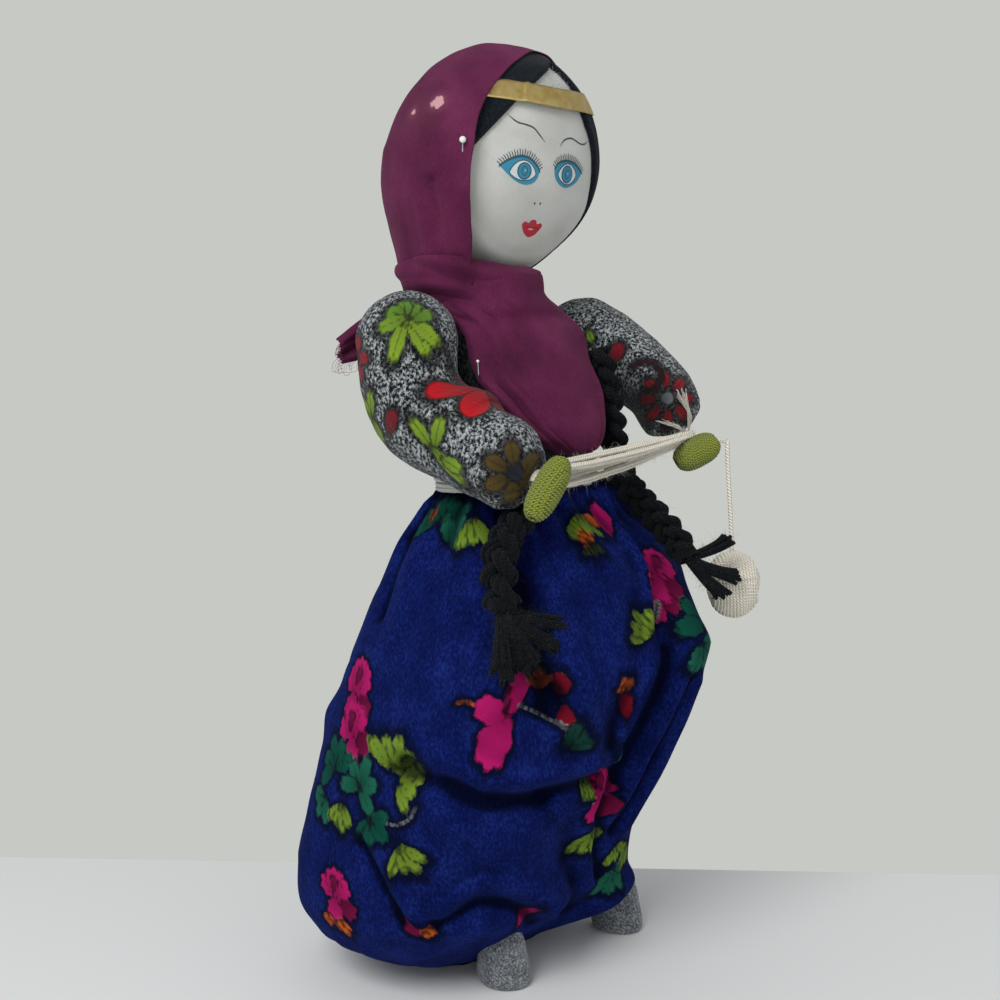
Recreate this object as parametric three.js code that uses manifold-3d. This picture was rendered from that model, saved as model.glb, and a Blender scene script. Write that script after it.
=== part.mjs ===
// A standing folk rag doll that winds yarn between its hands. Millimetres, +Z up.
// The doll faces -Y and its left hand is on +X. Left and right are the doll's own.
import * as THREE from "three";
import Module from "manifold-3d";
import { mergeVertices } from "three/addons/utils/BufferGeometryUtils.js";

const wasm = await Module();
wasm.setup();

// Clearances
const touchGap = 0.3; // between pieces that touch
const swingGap = 0.4; // between the two halves of the trousers, which turn about the hips
const channelSides = 10;

// The doll's height goes by its shoulders. The heights below are drawn for shoulders 286 mm up,
// and all of them stretch with the real height.
const shoulderHeight = 286;
const stretch = shoulderHeight / 286;
function tall(rows, column) {
  return rows.map((row) => row.map((value, i) => (i === column ? value * stretch : value)));
}

// Stuffed torso: height, half width, half depth and how far its middle lies behind the axis
const torsoSections = tall([
  [180, 21, 17, 2],
  [195, 24, 20, 2],
  [206, 26.5, 24, 1],
  [219, 35, 26, 0],
  [240, 34, 29, 0],
  [262, 34, 28, 1],
  [286, 33, 24, 4],
  [300, 27, 19, 6],
  [308, 14, 13, 6],
  [312, 12, 12, 6],
], 0);
const bodiceWall = 1.6;
const bodiceBottom = 214 * stretch;
const bodiceTop = 292 * stretch;

// Shoulders and arms
const shoulderDepth = 7.5;
const sleeveRadius = 21.3;
const elbowRadius = 19.5;
const cuffRadius = 15.5;
const wristRadius = 5.2;
const wristLength = 9;
const wireRadius = 1.2;
// Each arm's bend, as places measured from its shoulder: outward, back and up
const rightArmBend = tall([
  [0, 0, 0],
  [-0.2, 0.4, -18],
  [-1, -8.6, -37],
  [-3.5, -26, -51],
  [-6.5, -47, -57.5],
], 2);
const leftArmBend = tall([
  [0, 0, 0],
  [0.2, -17, -9],
  [0.4, -31.5, -19],
  [0.5, -42.5, -28.5],
  [0.6, -49.5, -38],
], 2);

// Yarn hands
const palmLength = 28;
const palmThickness = 16;
const handYarnRadius = 0.95;
const handYarnLoops = 6;
const handYarnSteps = 16;
const rightPalmLean = [0.45, -0.15, 0.88];
const leftPalmLean = [0.66, -0.55, 0.4];

// Skein round both wrists
const skeinYarnRadius = 0.6;
const skeinLoops = 5;
const skeinPitch = 1.7;
const skeinStraightSteps = 7;
const skeinTurnSteps = 4;

// Strand and ball under the left hand
const strandRadius = 1.1;
const strandLength = 51;
const ballRadius = 13.8;
const ballYarnRadius = 1.1;
const ballLoops = 6;

// Head
const neckStickRadius = 3.5;
const neckStickBottom = 294 * stretch;
const neckStickTop = 345 * stretch;
const collarTop = 312 * stretch;
const headHeight = 363 * stretch;
const headDepth = 8;
const headHalfWidth = 46;
const headHalfHeight = 49;
const faceFlatAt = 24;
const faceFlatness = 0.45;
const headTurn = -7;
const headRoll = 5;
const headNod = 12;
const hairWall = 1;
const bandWall = 0.6;
const bandHeight = 7;
const bandUp = 19;
const hoodWall = 1.9;
const faceOpeningHalfWidth = 37;
const hairlineHalfWidth = 34;

// Scarf below the chin
const wrapHalfWidth = 35;
const wrapHalfDepth = 34;
const wrapBack = 14;
const wrapBottom = 292 * stretch;
const scarfWall = 1.8;
const wrapWall = 3.5;
const bibTip = 234 * stretch;
const bibSwell = 6;
// The bib's edges: share of the way down, its right edge and its left edge across the chest
const bibEdges = [
  [0, -31, 22],
  [0.3, -33, 17],
  [0.55, -30, 19],
  [0.8, -23, 16],
  [0.94, -15, 10],
  [1, -4, 4],
];
const cornerLength = 31;
const cornerWidth = 26;

// Waist tie
const tieYarnRadius = 1;
const tieLoops = 3;
const tieHeight = 219.5 * stretch;

// Hips, legs and feet
const hipHeight = 195 * stretch;
const hipDepth = 2;
const legSpread = 38.5;
const thighRadius = 12;
const ankleRadius = 9;
const ankleHeight = 26;
const ankleDepth = -6;
const footHalfWidth = 10;
const footHalfLength = 13.5;
const footForward = 3;

// Trousers: height, middle across, middle back, half width and half depth
const trouserSections = tall([
  [217.5, 0, 0, 40.2, 31],
  [211, 0, 0, 46, 38],
  [195, 2, -2, 62, 53],
  [178, 4, -3, 74, 61],
  [144, 3, -1, 86, 75],
  [103, -8, 13, 84, 73],
  [57, -20, 27, 81, 65],
  [36, -20, 32, 79, 65],
  [20, -20, 35, 70, 49],
  [7, -17, 33, 50, 30],
  [0, -13, 28, 28, 13],
], 0);
const trouserWall = 3;
const trouserSquareness = 2.5;
const trouserSteps = 52;
const trouserRowHeights = [217.5, 211, 195, 178, 161, 144, 129, 115, 103, 91, 78, 57, 36, 20, 7, 0];
const trouserSplitRadius = 92;
const hipCylinderLength = 260; // longer than the trousers are wide
// The cloth's main folds: how far a ridge rises or, below nothing, a valley sinks, its width, and its
// line as degrees round the trousers from the left side and height
const trouserFolds = [
  { rise: -11, width: 10, line: [[213, 214], [215, 189], [218, 169], [221, 153], [229, 138]] },
  { rise: 4.5, width: 8, line: [[229, 172], [231, 160], [234, 147], [242, 128], [254, 106]] },
  { rise: -12, width: 16, line: [[297, 204], [292, 186], [284, 164], [277, 140], [275, 118], [277, 100]] },
  { rise: 4.5, width: 8, line: [[283, 205], [281, 186], [270, 164], [262, 140], [262, 118], [266, 100]] },
  { rise: -7, width: 8, line: [[194, 108], [209, 102], [220, 96], [233, 94], [251, 95], [266, 96]] },
  { rise: 3.5, width: 8, line: [[191, 122], [209, 116], [218, 110], [233, 107], [251, 107], [262, 107]] },
  { rise: 4, width: 9, line: [[203, 105], [213, 93], [228, 77], [247, 57], [262, 37]] },
  { rise: -6, width: 9, line: [[246, 90], [262, 72], [274, 52], [287, 28]] },
  { rise: -5, width: 8, line: [[297, 128], [297, 102], [296, 82], [292, 64]] },
  { rise: -6, width: 10, line: [[120, 190], [112, 150], [108, 105], [118, 60]] },
  { rise: -7, width: 11, line: [[75, 190], [70, 150], [60, 105], [62, 55]] },
  { rise: -6, width: 10, line: [[35, 185], [30, 140], [20, 95], [28, 50]] },
  { rise: -5, width: 9, line: [[345, 180], [338, 140], [330, 100], [322, 60]] },
  { rise: 3.5, width: 10, line: [[140, 120], [120, 95], [95, 85], [60, 88]] },
  { rise: 18, width: 10, line: [[306, 22], [330, 22]] },
].map((fold) => ({ ...fold, line: tall(fold.line, 1) }));
const foldDegree = 1.35; // cloth's length along one degree round, for the folds' widths
const hemFlatHeight = 30; // the folds fade out below it
const gatherDepth = 20; // and this far under the top
// The cloth gives way beside the ball of yarn
const ballDent = 10;
const ballDentAngle = 319;
const ballDentHeight = 166 * stretch;

// Braids, as places measured from the doll's axis at the floor
const braidRadius = 5.4;
const braidEndRadius = 6.6;
const rightBraidPath = tall([
  [-28.5, -31, 243],
  [-28.8, -31, 235],
  [-29, -31, 226],
  [-35.5, -41, 211],
  [-48, -45, 201],
  [-59.5, -48, 190],
  [-66, -51.5, 180],
  [-68.5, -54.5, 170],
], 2);
const leftBraidPath = tall([
  [27, -29, 284],
  [28, -30, 262],
  [28.5, -30.6, 240],
  [28.4, -29.9, 226],
  [30, -42.4, 211],
  [32, -60, 196],
  [34, -72, 179],
], 2);
const braidHingeHeight = 205 * stretch;
const braidStem = 5;
const braidTieWall = 1.2;
const braidTieLength = 6;
const prongRadius = 2.2;

// Pins
const pinHeadRadius = 1.5;
const pinRadius = 0.5;
const pinLength = 13;

const deg = Math.PI / 180;
const X = new THREE.Vector3(1, 0, 0);
const Y = new THREE.Vector3(0, 1, 0);
const Z = new THREE.Vector3(0, 0, 1);

function vec(x, y, z) {
  return new THREE.Vector3(x, y, z);
}

function mix(a, b, t) {
  return a + (b - a) * t;
}

// Values of a table's columns at one height, on straight lines through its rows
function sectionAt(table, height) {
  const rows = table[0][0] < table[table.length - 1][0] ? table : [...table].reverse();
  const last = rows.length - 1;
  if (height <= rows[0][0]) return rows[0].slice(1);
  if (height >= rows[last][0]) return rows[last].slice(1);
  const k = rows.findIndex((row) => row[0] > height) - 1;
  const t = (height - rows[k][0]) / (rows[k + 1][0] - rows[k][0]);
  return rows[k].slice(1).map((value, column) => mix(value, rows[k + 1][column + 1], t));
}

// A closed body from rings of points. Open rings get flat ends; looped rings join last to first.
function loft(rings, looped = false) {
  const sides = rings[0].length;
  const points = rings.flat();
  const index = [];
  const joins = looped ? rings.length : rings.length - 1;
  for (let i = 0; i < joins; i++) {
    const next = ((i + 1) % rings.length) * sides;
    for (let j = 0; j < sides; j++) {
      const k = (j + 1) % sides;
      index.push(i * sides + j, i * sides + k, next + k);
      index.push(i * sides + j, next + k, next + j);
    }
  }
  if (!looped) {
    capRing(points, index, 0, sides, true);
    capRing(points, index, (rings.length - 1) * sides, sides, false);
  }
  return closedGeometry(points, index);
}

// A closed sheet of cloth: a front grid, a back grid and the rim between them
function sheet(rows, columns, place) {
  const width = columns + 1;
  const points = [];
  for (const front of [true, false]) {
    for (let i = 0; i <= rows; i++) {
      for (let j = 0; j <= columns; j++) points.push(place(i / rows, mix(-1, 1, j / columns), front));
    }
  }
  const back = (rows + 1) * width;
  const index = [];
  const quad = (a, b, c, d) => index.push(a, b, c, a, c, d);
  for (let i = 0; i < rows; i++) {
    for (let j = 0; j < columns; j++) {
      const a = i * width + j;
      quad(a, a + 1, a + width + 1, a + width);
      quad(back + a, back + a + width, back + a + width + 1, back + a + 1);
    }
    const left = i * width;
    const right = left + columns;
    quad(left, left + width, back + left + width, back + left);
    quad(right + width, right, back + right, back + right + width);
  }
  const foot = rows * width;
  for (let j = 0; j < columns; j++) {
    quad(j + 1, j, back + j, back + j + 1);
    quad(foot + j, foot + j + 1, back + foot + j + 1, back + foot + j);
  }
  return closedGeometry(points, index);
}

function capRing(points, index, start, sides, flip) {
  const middle = vec(0, 0, 0);
  for (let j = 0; j < sides; j++) middle.add(points[start + j]);
  const centre = points.push(middle.divideScalar(sides)) - 1;
  for (let j = 0; j < sides; j++) {
    const a = start + j;
    const b = start + ((j + 1) % sides);
    index.push(centre, flip ? b : a, flip ? a : b);
  }
}

// Geometry whose faces point out, whichever way its rings ran
function closedGeometry(points, index) {
  let volume = 0;
  for (let i = 0; i < index.length; i += 3) {
    const [a, b, c] = [points[index[i]], points[index[i + 1]], points[index[i + 2]]];
    volume += a.dot(b.clone().cross(c));
  }
  const faces = volume < 0 ? [...index].reverse() : index;
  const geometry = new THREE.BufferGeometry().setFromPoints(points);
  geometry.setIndex(faces);
  return geometry;
}

function toSolid(geometry) {
  const plain = geometry.clone();
  plain.deleteAttribute("normal");
  plain.deleteAttribute("uv");
  const merged = mergeVertices(plain, 1e-4);
  const vertProperties = new Float32Array(merged.attributes.position.array);
  const triVerts = new Uint32Array(merged.index.array);
  return new wasm.Manifold(new wasm.Mesh({ numProp: 3, vertProperties, triVerts }));
}

function toGeometry(solid) {
  const mesh = solid.getMesh();
  const geometry = new THREE.BufferGeometry();
  geometry.setAttribute("position", new THREE.BufferAttribute(mesh.vertProperties, 3));
  geometry.setIndex([...mesh.triVerts]);
  geometry.computeVertexNormals();
  return geometry;
}

function cut(geometry, ...tools) {
  return toGeometry(tools.reduce((solid, tool) => solid.subtract(toSolid(tool)), toSolid(geometry)));
}

function join(...geometries) {
  return toGeometry(geometries.map(toSolid).reduce((all, solid) => all.add(solid)));
}

// Closed tube along points, its radius given at each. The section is carried along without twist.
function sweep(points, radii, sides = channelSides) {
  const rings = [];
  let side = null;
  points.forEach((point, i) => {
    const before = points[Math.max(i - 1, 0)];
    const after = points[Math.min(i + 1, points.length - 1)];
    const along = after.clone().sub(before).normalize();
    const guess = side ?? (Math.abs(along.z) < 0.9 ? Z.clone() : X.clone());
    side = guess.clone().addScaledVector(along, -guess.dot(along)).normalize();
    const other = along.clone().cross(side);
    const radius = Array.isArray(radii) ? radii[i] : radii;
    rings.push(ring(point, side, other, radius, radius, sides));
  });
  return loft(rings);
}

function ring(centre, side, other, halfWidth, halfDepth, sides, squareness = 2) {
  const points = [];
  for (let j = 0; j < sides; j++) {
    const angle = (2 * Math.PI * j) / sides;
    const [c, s] = [Math.cos(angle), Math.sin(angle)];
    const even = Math.abs(c) ** squareness + Math.abs(s) ** squareness;
    const scale = even ** (-1 / squareness);
    const point = centre.clone().addScaledVector(side, halfWidth * c * scale);
    points.push(point.addScaledVector(other, halfDepth * s * scale));
  }
  return points;
}

function smoothPath(points, steps) {
  return new THREE.CatmullRomCurve3(points, false, "centripetal").getSpacedPoints(steps);
}

function cylinder(radius, from, to, sides = channelSides) {
  return sweep([from, to], radius, sides);
}

function ellipsoid(halfX, halfY, halfZ, around, rows) {
  const geometry = new THREE.SphereGeometry(1, around, rows);
  geometry.rotateX(Math.PI / 2);
  geometry.scale(halfX, halfY, halfZ);
  return geometry;
}

// Least distance between turns of a wound tube's centre line, at least half a turn apart
function leastTurnGap(points, perTurn, radius) {
  let least = Infinity;
  for (let i = 0; i < points.length; i++) {
    for (let j = i + Math.ceil(perTurn / 2); j < points.length; j++) {
      least = Math.min(least, points[i].distanceTo(points[j]));
    }
  }
  return least - 2 * radius;
}

const cloth = (color) => new THREE.MeshStandardMaterial({ color, roughness: 0.95, metalness: 0 });
const foil = (color) => new THREE.MeshStandardMaterial({ color, roughness: 0.35, metalness: 1 });
const wire = (color) => new THREE.MeshStandardMaterial({ color, roughness: 0.45, metalness: 1 });

function mesh(name, geometry, material, parent = doll) {
  const made = new THREE.Mesh(geometry, material);
  made.name = name;
  parent.add(made);
  return made;
}

const doll = new THREE.Group();

// Torso and bodice
function torsoRing(height, grow, sides = 20) {
  const [halfWidth, halfDepth, back] = sectionAt(torsoSections, height);
  return ring(vec(0, back, height), X, Y, halfWidth + grow, halfDepth + grow, sides);
}

function torsoLoft(bottom, top, grow, extraRows = 0) {
  const heights = torsoSections.map((row) => row[0]).filter((h) => h > bottom + 1 && h < top - 1);
  const rings = [bottom - extraRows, ...heights, top + extraRows].map((h) => torsoRing(h, grow));
  return loft(rings);
}

const torsoBottom = torsoSections[0][0];
const torsoTop = torsoSections[torsoSections.length - 1][0];
const widestTorso = Math.max(...torsoSections.filter((row) => row[0] > 220).map((row) => row[1]));
const bodiceOuter = touchGap + bodiceWall;
const shoulderX = widestTorso + bodiceOuter + touchGap + sleeveRadius;
const shoulder = (side) => vec(side * shoulderX, shoulderDepth, shoulderHeight);
const hip = (side) => vec(side * legSpread, hipDepth, hipHeight);

// Arms: centre line, sleeve, wrist, palm
function armLine(side, bend) {
  const centre = shoulder(side);
  return bend.map(([out, back, up]) => centre.clone().add(vec(side * out, back, up)));
}

const arms = [
  { side: -1, name: "right", bend: rightArmBend, lean: rightPalmLean },
  { side: 1, name: "left", bend: leftArmBend, lean: leftPalmLean },
];
for (const arm of arms) {
  arm.line = armLine(arm.side, arm.bend);
  arm.path = smoothPath(arm.line, 10);
  arm.end = arm.path[arm.path.length - 1];
  arm.along = arm.end.clone().sub(arm.path[arm.path.length - 2]).normalize();
  arm.cuffEnd = arm.end.clone().addScaledVector(arm.along, cuffRadius * 0.35);
  arm.wristEnd = arm.cuffEnd.clone().addScaledVector(arm.along, wristLength);
  const lean = vec(...arm.lean);
  arm.palmUp = lean.addScaledVector(arm.along, -lean.dot(arm.along)).normalize();
  arm.palmSide = arm.palmUp.clone().cross(arm.along).normalize();
  arm.palm = arm.wristEnd.clone().addScaledVector(arm.along, palmThickness / 2 + touchGap);
}

function sleeve(arm) {
  const capAngles = [80, 60, 40, 20];
  const start = arm.path[0];
  const back = arm.path[0].clone().sub(arm.path[1]).normalize();
  const centres = [];
  const radii = [];
  for (const angle of capAngles) {
    const reach = sleeveRadius * Math.sin(angle * deg);
    centres.push(start.clone().addScaledVector(back, reach));
    radii.push(sleeveRadius * Math.cos(angle * deg));
  }
  arm.path.forEach((point, i) => {
    const t = i / (arm.path.length - 1);
    centres.push(point);
    radii.push(t < 0.5 ? mix(sleeveRadius, elbowRadius, t * 2) : mix(elbowRadius, cuffRadius, t * 2 - 1));
  });
  const cuffMiddle = arm.end.clone().addScaledVector(arm.along, cuffRadius * 0.25);
  centres.push(cuffMiddle, arm.cuffEnd, arm.wristEnd);
  radii.push(cuffRadius * 0.75, wristRadius, wristRadius);
  return sweep(centres, radii, 12);
}

// The arm wire's centre line, from one palm to the other through the shoulders
function armWireLine() {
  const half = (arm) => {
    const inner = shoulder(arm.side).add(vec(-arm.side * 14, 0, 0));
    const bend = shoulder(arm.side).add(vec(-arm.side * 3, 0, -3));
    return [arm.palm, arm.wristEnd, arm.end, arm.path[7], arm.path[4], arm.path[2], bend, inner];
  };
  const [right, left] = arms.map(half);
  return [...right, ...left.reverse()];
}

const wireLine = armWireLine();
const wireChannel = sweep(wireLine, wireRadius + touchGap, 6);
mesh("arm_wire", sweep(wireLine, wireRadius, 6), wire(0x8c8f92));

// Palm core: the stuffed pad under the yarn
const coreShrink = 2 * handYarnRadius + touchGap + 0.15;

function palmPoint(arm, up, side, along) {
  const point = arm.palm.clone().addScaledVector(arm.palmUp, up);
  return point.addScaledVector(arm.palmSide, side).addScaledVector(arm.along, along);
}

function palmHalf(up, shrink) {
  const t = Math.min(Math.abs(up) / (palmLength / 2), 1);
  return (palmThickness / 2) * Math.sqrt(Math.max(1 - t ** 3, 0)) - shrink;
}

function palmCore(arm) {
  const rings = [];
  for (const t of [-1, -0.8, -0.4, 0, 0.4, 0.8, 1]) {
    const up = (t * palmLength) / 2;
    const half = Math.max(palmHalf(up, coreShrink), 1.6);
    rings.push(ring(palmPoint(arm, up, 0, 0), arm.palmSide, arm.along, half, half, 10));
  }
  return cut(loft(rings), wireChannel);
}

// Yarn wound round the palm. The turns part at the wire on the wrist's side.
function palmYarnLine(arm) {
  const points = [];
  const turns = handYarnLoops;
  const reach = palmLength / 2 - 3.2;
  const wireRoom = 2 * (wireRadius + handYarnRadius + touchGap) + 0.2;
  const pitch = (2 * reach - wireRoom) / (turns - 1);
  for (let i = 0; i <= turns * handYarnSteps; i++) {
    const turn = i / handYarnSteps;
    const middle = turns / 2;
    const climb = THREE.MathUtils.smoothstep(turn, middle - 0.4, middle + 0.4);
    const up = -reach + pitch * (turn - 0.5) * ((turns - 1) / turns) + wireRoom * climb;
    const half = palmHalf(up, handYarnRadius);
    const angle = 2 * Math.PI * turn;
    const side = half * Math.sin(angle);
    const along = half * Math.cos(angle);
    points.push(palmPoint(arm, up, side, along));
  }
  return points;
}

for (const arm of arms) {
  const yarnLine = palmYarnLine(arm);
  mesh(`sleeve_${arm.name}`, cut(sleeve(arm), wireChannel), cloth(0x4c5052));
  mesh(`hand_core_${arm.name}`, palmCore(arm), cloth(0x8b8f3a));
  mesh(`hand_yarn_${arm.name}`, sweep(yarnLine, handYarnRadius, 5), cloth(0x8f9626));
  const gap = leastTurnGap(yarnLine, handYarnSteps, handYarnRadius);
  console.log(`least gap between turns, hand_yarn_${arm.name}: ${gap.toFixed(2)} mm`);
}

// Skein: one yarn wound round both wrists, its loops side by side along the wrists
function skeinLine() {
  const [right, left] = arms;
  const middleOf = (arm) => arm.cuffEnd.clone().add(arm.wristEnd).multiplyScalar(0.5);
  const [from, to] = [middleOf(right), middleOf(left)];
  const run = to.clone().sub(from).normalize();
  const around = wristRadius + skeinYarnRadius + touchGap + 0.2;
  const place = (s, turnAngle, offset) => {
    const stack = right.along.clone().lerp(left.along, s).normalize();
    const side = run.clone().cross(stack).normalize();
    const forward = stack.clone().cross(side).negate().normalize();
    const centre = from.clone().lerp(to, s).addScaledVector(stack, offset);
    centre.addScaledVector(side, around * Math.cos(turnAngle));
    return centre.addScaledVector(forward, around * Math.sin(turnAngle));
  };
  const points = [];
  const stops = [];
  for (let i = 0; i < skeinStraightSteps; i++) stops.push([i / skeinStraightSteps, 0]);
  for (let i = 0; i < skeinTurnSteps; i++) stops.push([1, (-180 * i) / skeinTurnSteps]);
  for (let i = 0; i < skeinStraightSteps; i++) stops.push([1 - i / skeinStraightSteps, -180]);
  for (let i = 0; i < skeinTurnSteps; i++) stops.push([0, -180 - (180 * i) / skeinTurnSteps]);
  const perLoop = stops.length;
  for (let i = 0; i <= skeinLoops * perLoop; i++) {
    const [s, angle] = stops[i % perLoop];
    const offset = (i / perLoop - skeinLoops / 2) * skeinPitch;
    points.push(place(s, angle * deg, offset));
  }
  return { points, perLoop };
}

const skein = skeinLine();
mesh("skein", sweep(skein.points, skeinYarnRadius, 5), cloth(0xd8cfba));
const skeinGap = leastTurnGap(skein.points, skein.perLoop * 1.8, skeinYarnRadius);
console.log(`least gap between turns, skein: ${skeinGap.toFixed(2)} mm`);

// Strand and ball of yarn under the left hand
const leftArm = arms[1];
const besidePalm = palmLength / 2 + strandRadius + touchGap + 0.4;
const strandTop = palmPoint(leftArm, besidePalm, 0, 0).add(vec(0, 0, -2));
const strandEnd = strandTop.clone().add(vec(0, 0, -strandLength));
const strandLine = [strandTop, strandTop.clone().lerp(strandEnd, 0.5), strandEnd];
mesh("strand", sweep(strandLine, strandRadius, 8), cloth(0xe4dccb));
const ballCentre = strandEnd.clone().add(vec(0, 0, -ballRadius - touchGap));
const ballCoreRadius = ballRadius - 2 * ballYarnRadius - touchGap;

function ballCore() {
  return ellipsoid(ballCoreRadius, ballCoreRadius, ballCoreRadius, 14, 8).translate(...ballCentre);
}

function ballYarnLine() {
  const points = [];
  const radius = ballRadius - ballYarnRadius;
  const perTurn = 24;
  const slope = 68 * deg;
  for (let i = 0; i <= ballLoops * perTurn; i++) {
    const t = i / (ballLoops * perTurn);
    const height = mix(-slope, slope, t);
    const angle = (2 * Math.PI * i) / perTurn;
    const flat = radius * Math.cos(height);
    const local = vec(radius * Math.sin(height), flat * Math.cos(angle), flat * Math.sin(angle));
    points.push(local.add(ballCentre));
  }
  return points;
}

const ballLine = ballYarnLine();
mesh("ball_core", ballCore(), cloth(0xd6cdb8));
mesh("ball_yarn", sweep(ballLine, ballYarnRadius, 5), cloth(0xe8e0cf));
const ballGap = leastTurnGap(ballLine, 24, ballYarnRadius);
console.log(`least gap between turns, ball_yarn: ${ballGap.toFixed(2)} mm`);

// Torso with the wires' cross bores, bodice round it and neck stick in it
const legWireLine = [
  vec(-legSpread, ankleDepth, ankleHeight - 12),
  vec(-legSpread, ankleDepth, ankleHeight),
  vec(-legSpread, hipDepth, hipHeight - 8),
  vec(-legSpread + 8, hipDepth, hipHeight),
  vec(legSpread - 8, hipDepth, hipHeight),
  vec(legSpread, hipDepth, hipHeight - 8),
  vec(legSpread, ankleDepth, ankleHeight),
  vec(legSpread, ankleDepth, ankleHeight - 12),
];
const legChannel = sweep(legWireLine, wireRadius + touchGap, 6);
const neckFrom = vec(0, torsoSections[torsoSections.length - 1][3], neckStickBottom);
const neckTo = neckFrom.clone().setZ(neckStickTop);
const stickBore = neckStickRadius + touchGap;
const neckSocket = cylinder(stickBore, neckFrom.clone().setZ(neckStickBottom - touchGap), neckTo);
const neckBore = cylinder(stickBore, neckFrom, neckTo.clone().setZ(neckStickTop + touchGap));
const crossBore = (halfLength, depth, height) => {
  const [from, to] = [vec(-halfLength, depth, height), vec(halfLength, depth, height)];
  return cylinder(wireRadius + touchGap, from, to, 6);
};
const armBore = crossBore(shoulderX, shoulderDepth, shoulderHeight);
const hipBore = crossBore(legSpread, hipDepth, hipHeight);
mesh("torso", cut(torsoLoft(torsoBottom, torsoTop, 0), armBore, hipBore, neckSocket), cloth(0xcfc8bb));
mesh("neck_stick", cylinder(neckStickRadius, neckFrom, neckTo, 10), cloth(0xc9a877));
mesh("leg_wire", sweep(legWireLine, wireRadius, 6), wire(0x8c8f92));

function bodice() {
  const outer = torsoLoft(bodiceBottom, bodiceTop, bodiceOuter);
  const inner = torsoLoft(bodiceBottom, bodiceTop, touchGap, 1);
  return cut(outer, inner, armBore);
}

mesh("bodice", bodice(), cloth(0x3f4345));

// Waist tie: cotton wound round the bodice above the trousers
function tieLine() {
  const points = [];
  const perTurn = 24;
  const pitch = 2 * tieYarnRadius + 0.55;
  for (let i = 0; i <= tieLoops * perTurn; i++) {
    const angle = (2 * Math.PI * i) / perTurn;
    const height = tieHeight + (pitch * i) / perTurn;
    const [halfWidth, halfDepth, back] = sectionAt(torsoSections, height);
    const grow = bodiceOuter + touchGap + tieYarnRadius + 0.5;
    const c = Math.cos(angle) * (halfWidth + grow);
    const s = Math.sin(angle) * (halfDepth + grow);
    points.push(vec(c, back + s, height));
  }
  return points;
}

const tie = tieLine();
mesh("waist_tie", sweep(tie, tieYarnRadius, 5), cloth(0xe8e6e2));
console.log(`least gap between turns, waist_tie: ${leastTurnGap(tie, 24, tieYarnRadius).toFixed(2)} mm`);

// Head: a stuffed ball in its own frame, turned and nodded as one group
const headGroup = new THREE.Group();
headGroup.position.set(0, headDepth, headHeight);
headGroup.rotation.set(headNod * deg, headRoll * deg, headTurn * deg, "ZYX");
headGroup.updateMatrixWorld();
doll.add(headGroup);

function intoHead(geometry) {
  return geometry.clone().applyMatrix4(headGroup.matrixWorld.clone().invert());
}

function headBall(grow, around = 20, rows = 12) {
  const halfX = headHalfWidth + grow;
  const geometry = ellipsoid(halfX, halfX, headHalfHeight + grow, around, rows);
  const position = geometry.attributes.position;
  const flatAt = faceFlatAt + grow * 0.5;
  for (let i = 0; i < position.count; i++) {
    const y = position.getY(i);
    if (y < -flatAt) position.setY(i, -flatAt + (y + flatAt) * (1 - faceFlatness * 0.6));
  }
  return geometry;
}

// An upright oval prism along the head's front, pointed at the top when asked
function facePrism(halfWidth, bottom, top, back, pointed) {
  const shape = [];
  const middle = mix(bottom, top, 0.42);
  for (let j = 0; j < 28; j++) {
    const angle = (2 * Math.PI * j) / 28;
    const [c, s] = [Math.cos(angle), Math.sin(angle)];
    const reach = s > 0 ? top - middle : middle - bottom;
    const narrowing = pointed && s > 0 ? 1 - 0.3 * s : 1;
    shape.push([halfWidth * c * narrowing, middle + reach * s]);
  }
  const front = -90;
  return loft([front, back].map((y) => shape.map(([x, z]) => vec(x, y, z))));
}

const hairGrow = touchGap + hairWall;
const bandGrow = hairGrow + touchGap + bandWall;
const hoodGrow = bandGrow + touchGap;
const hoodOpening = facePrism(faceOpeningHalfWidth, -46, 50, -10, false);
const chinCut = intoHead(new THREE.BoxGeometry(200, 200, 60).translate(0, 0, collarTop + 1 - 30));

function hair() {
  const shell = cut(headBall(hairGrow), headBall(touchGap));
  const hairline = facePrism(hairlineHalfWidth, -52, 44, 12, true);
  const backCut = new THREE.BoxGeometry(200, 100, 200).translate(0, 62, 0);
  const lowCut = new THREE.BoxGeometry(200, 200, 60).translate(0, 0, -64);
  return cut(shell, hairline, backCut, lowCut);
}

function foreheadBand() {
  const shell = cut(headBall(bandGrow), headBall(hairGrow + touchGap));
  const above = new THREE.BoxGeometry(200, 200, 100).translate(0, 0, bandUp + bandHeight / 2 + 50);
  const below = new THREE.BoxGeometry(200, 200, 200).translate(0, 0, bandUp - bandHeight / 2 - 100);
  const behind = new THREE.BoxGeometry(200, 100, 200).translate(0, 50 - 20, 0);
  return cut(shell, above, below, behind);
}

function hood() {
  const outer = join(headBall(hoodGrow + hoodWall), intoHead(hoodSkirt(0)));
  const inner = headBall(hoodGrow);
  return cut(outer, inner, intoHead(hoodSkirt(hoodWall)), hoodOpening, chinCut);
}

// The hood's skirt narrows from the cheeks to the wrap round the neck
function hoodSkirt(shrink) {
  const bottom = shrink ? collarTop - 6 : collarTop;
  const rows = [
    [bottom, wrapBack, wrapHalfWidth + 3, wrapHalfDepth + 2],
    [collarTop + 16, wrapBack - 2, wrapHalfWidth + 6, wrapHalfDepth + 6],
    [collarTop + 30, headDepth + 1, headHalfWidth - 2, headHalfWidth - 4],
  ];
  return loft(rows.map(([z, back, a, b]) => ring(vec(-2, back, z), X, Y, a - shrink, b - shrink, 22)));
}

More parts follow.
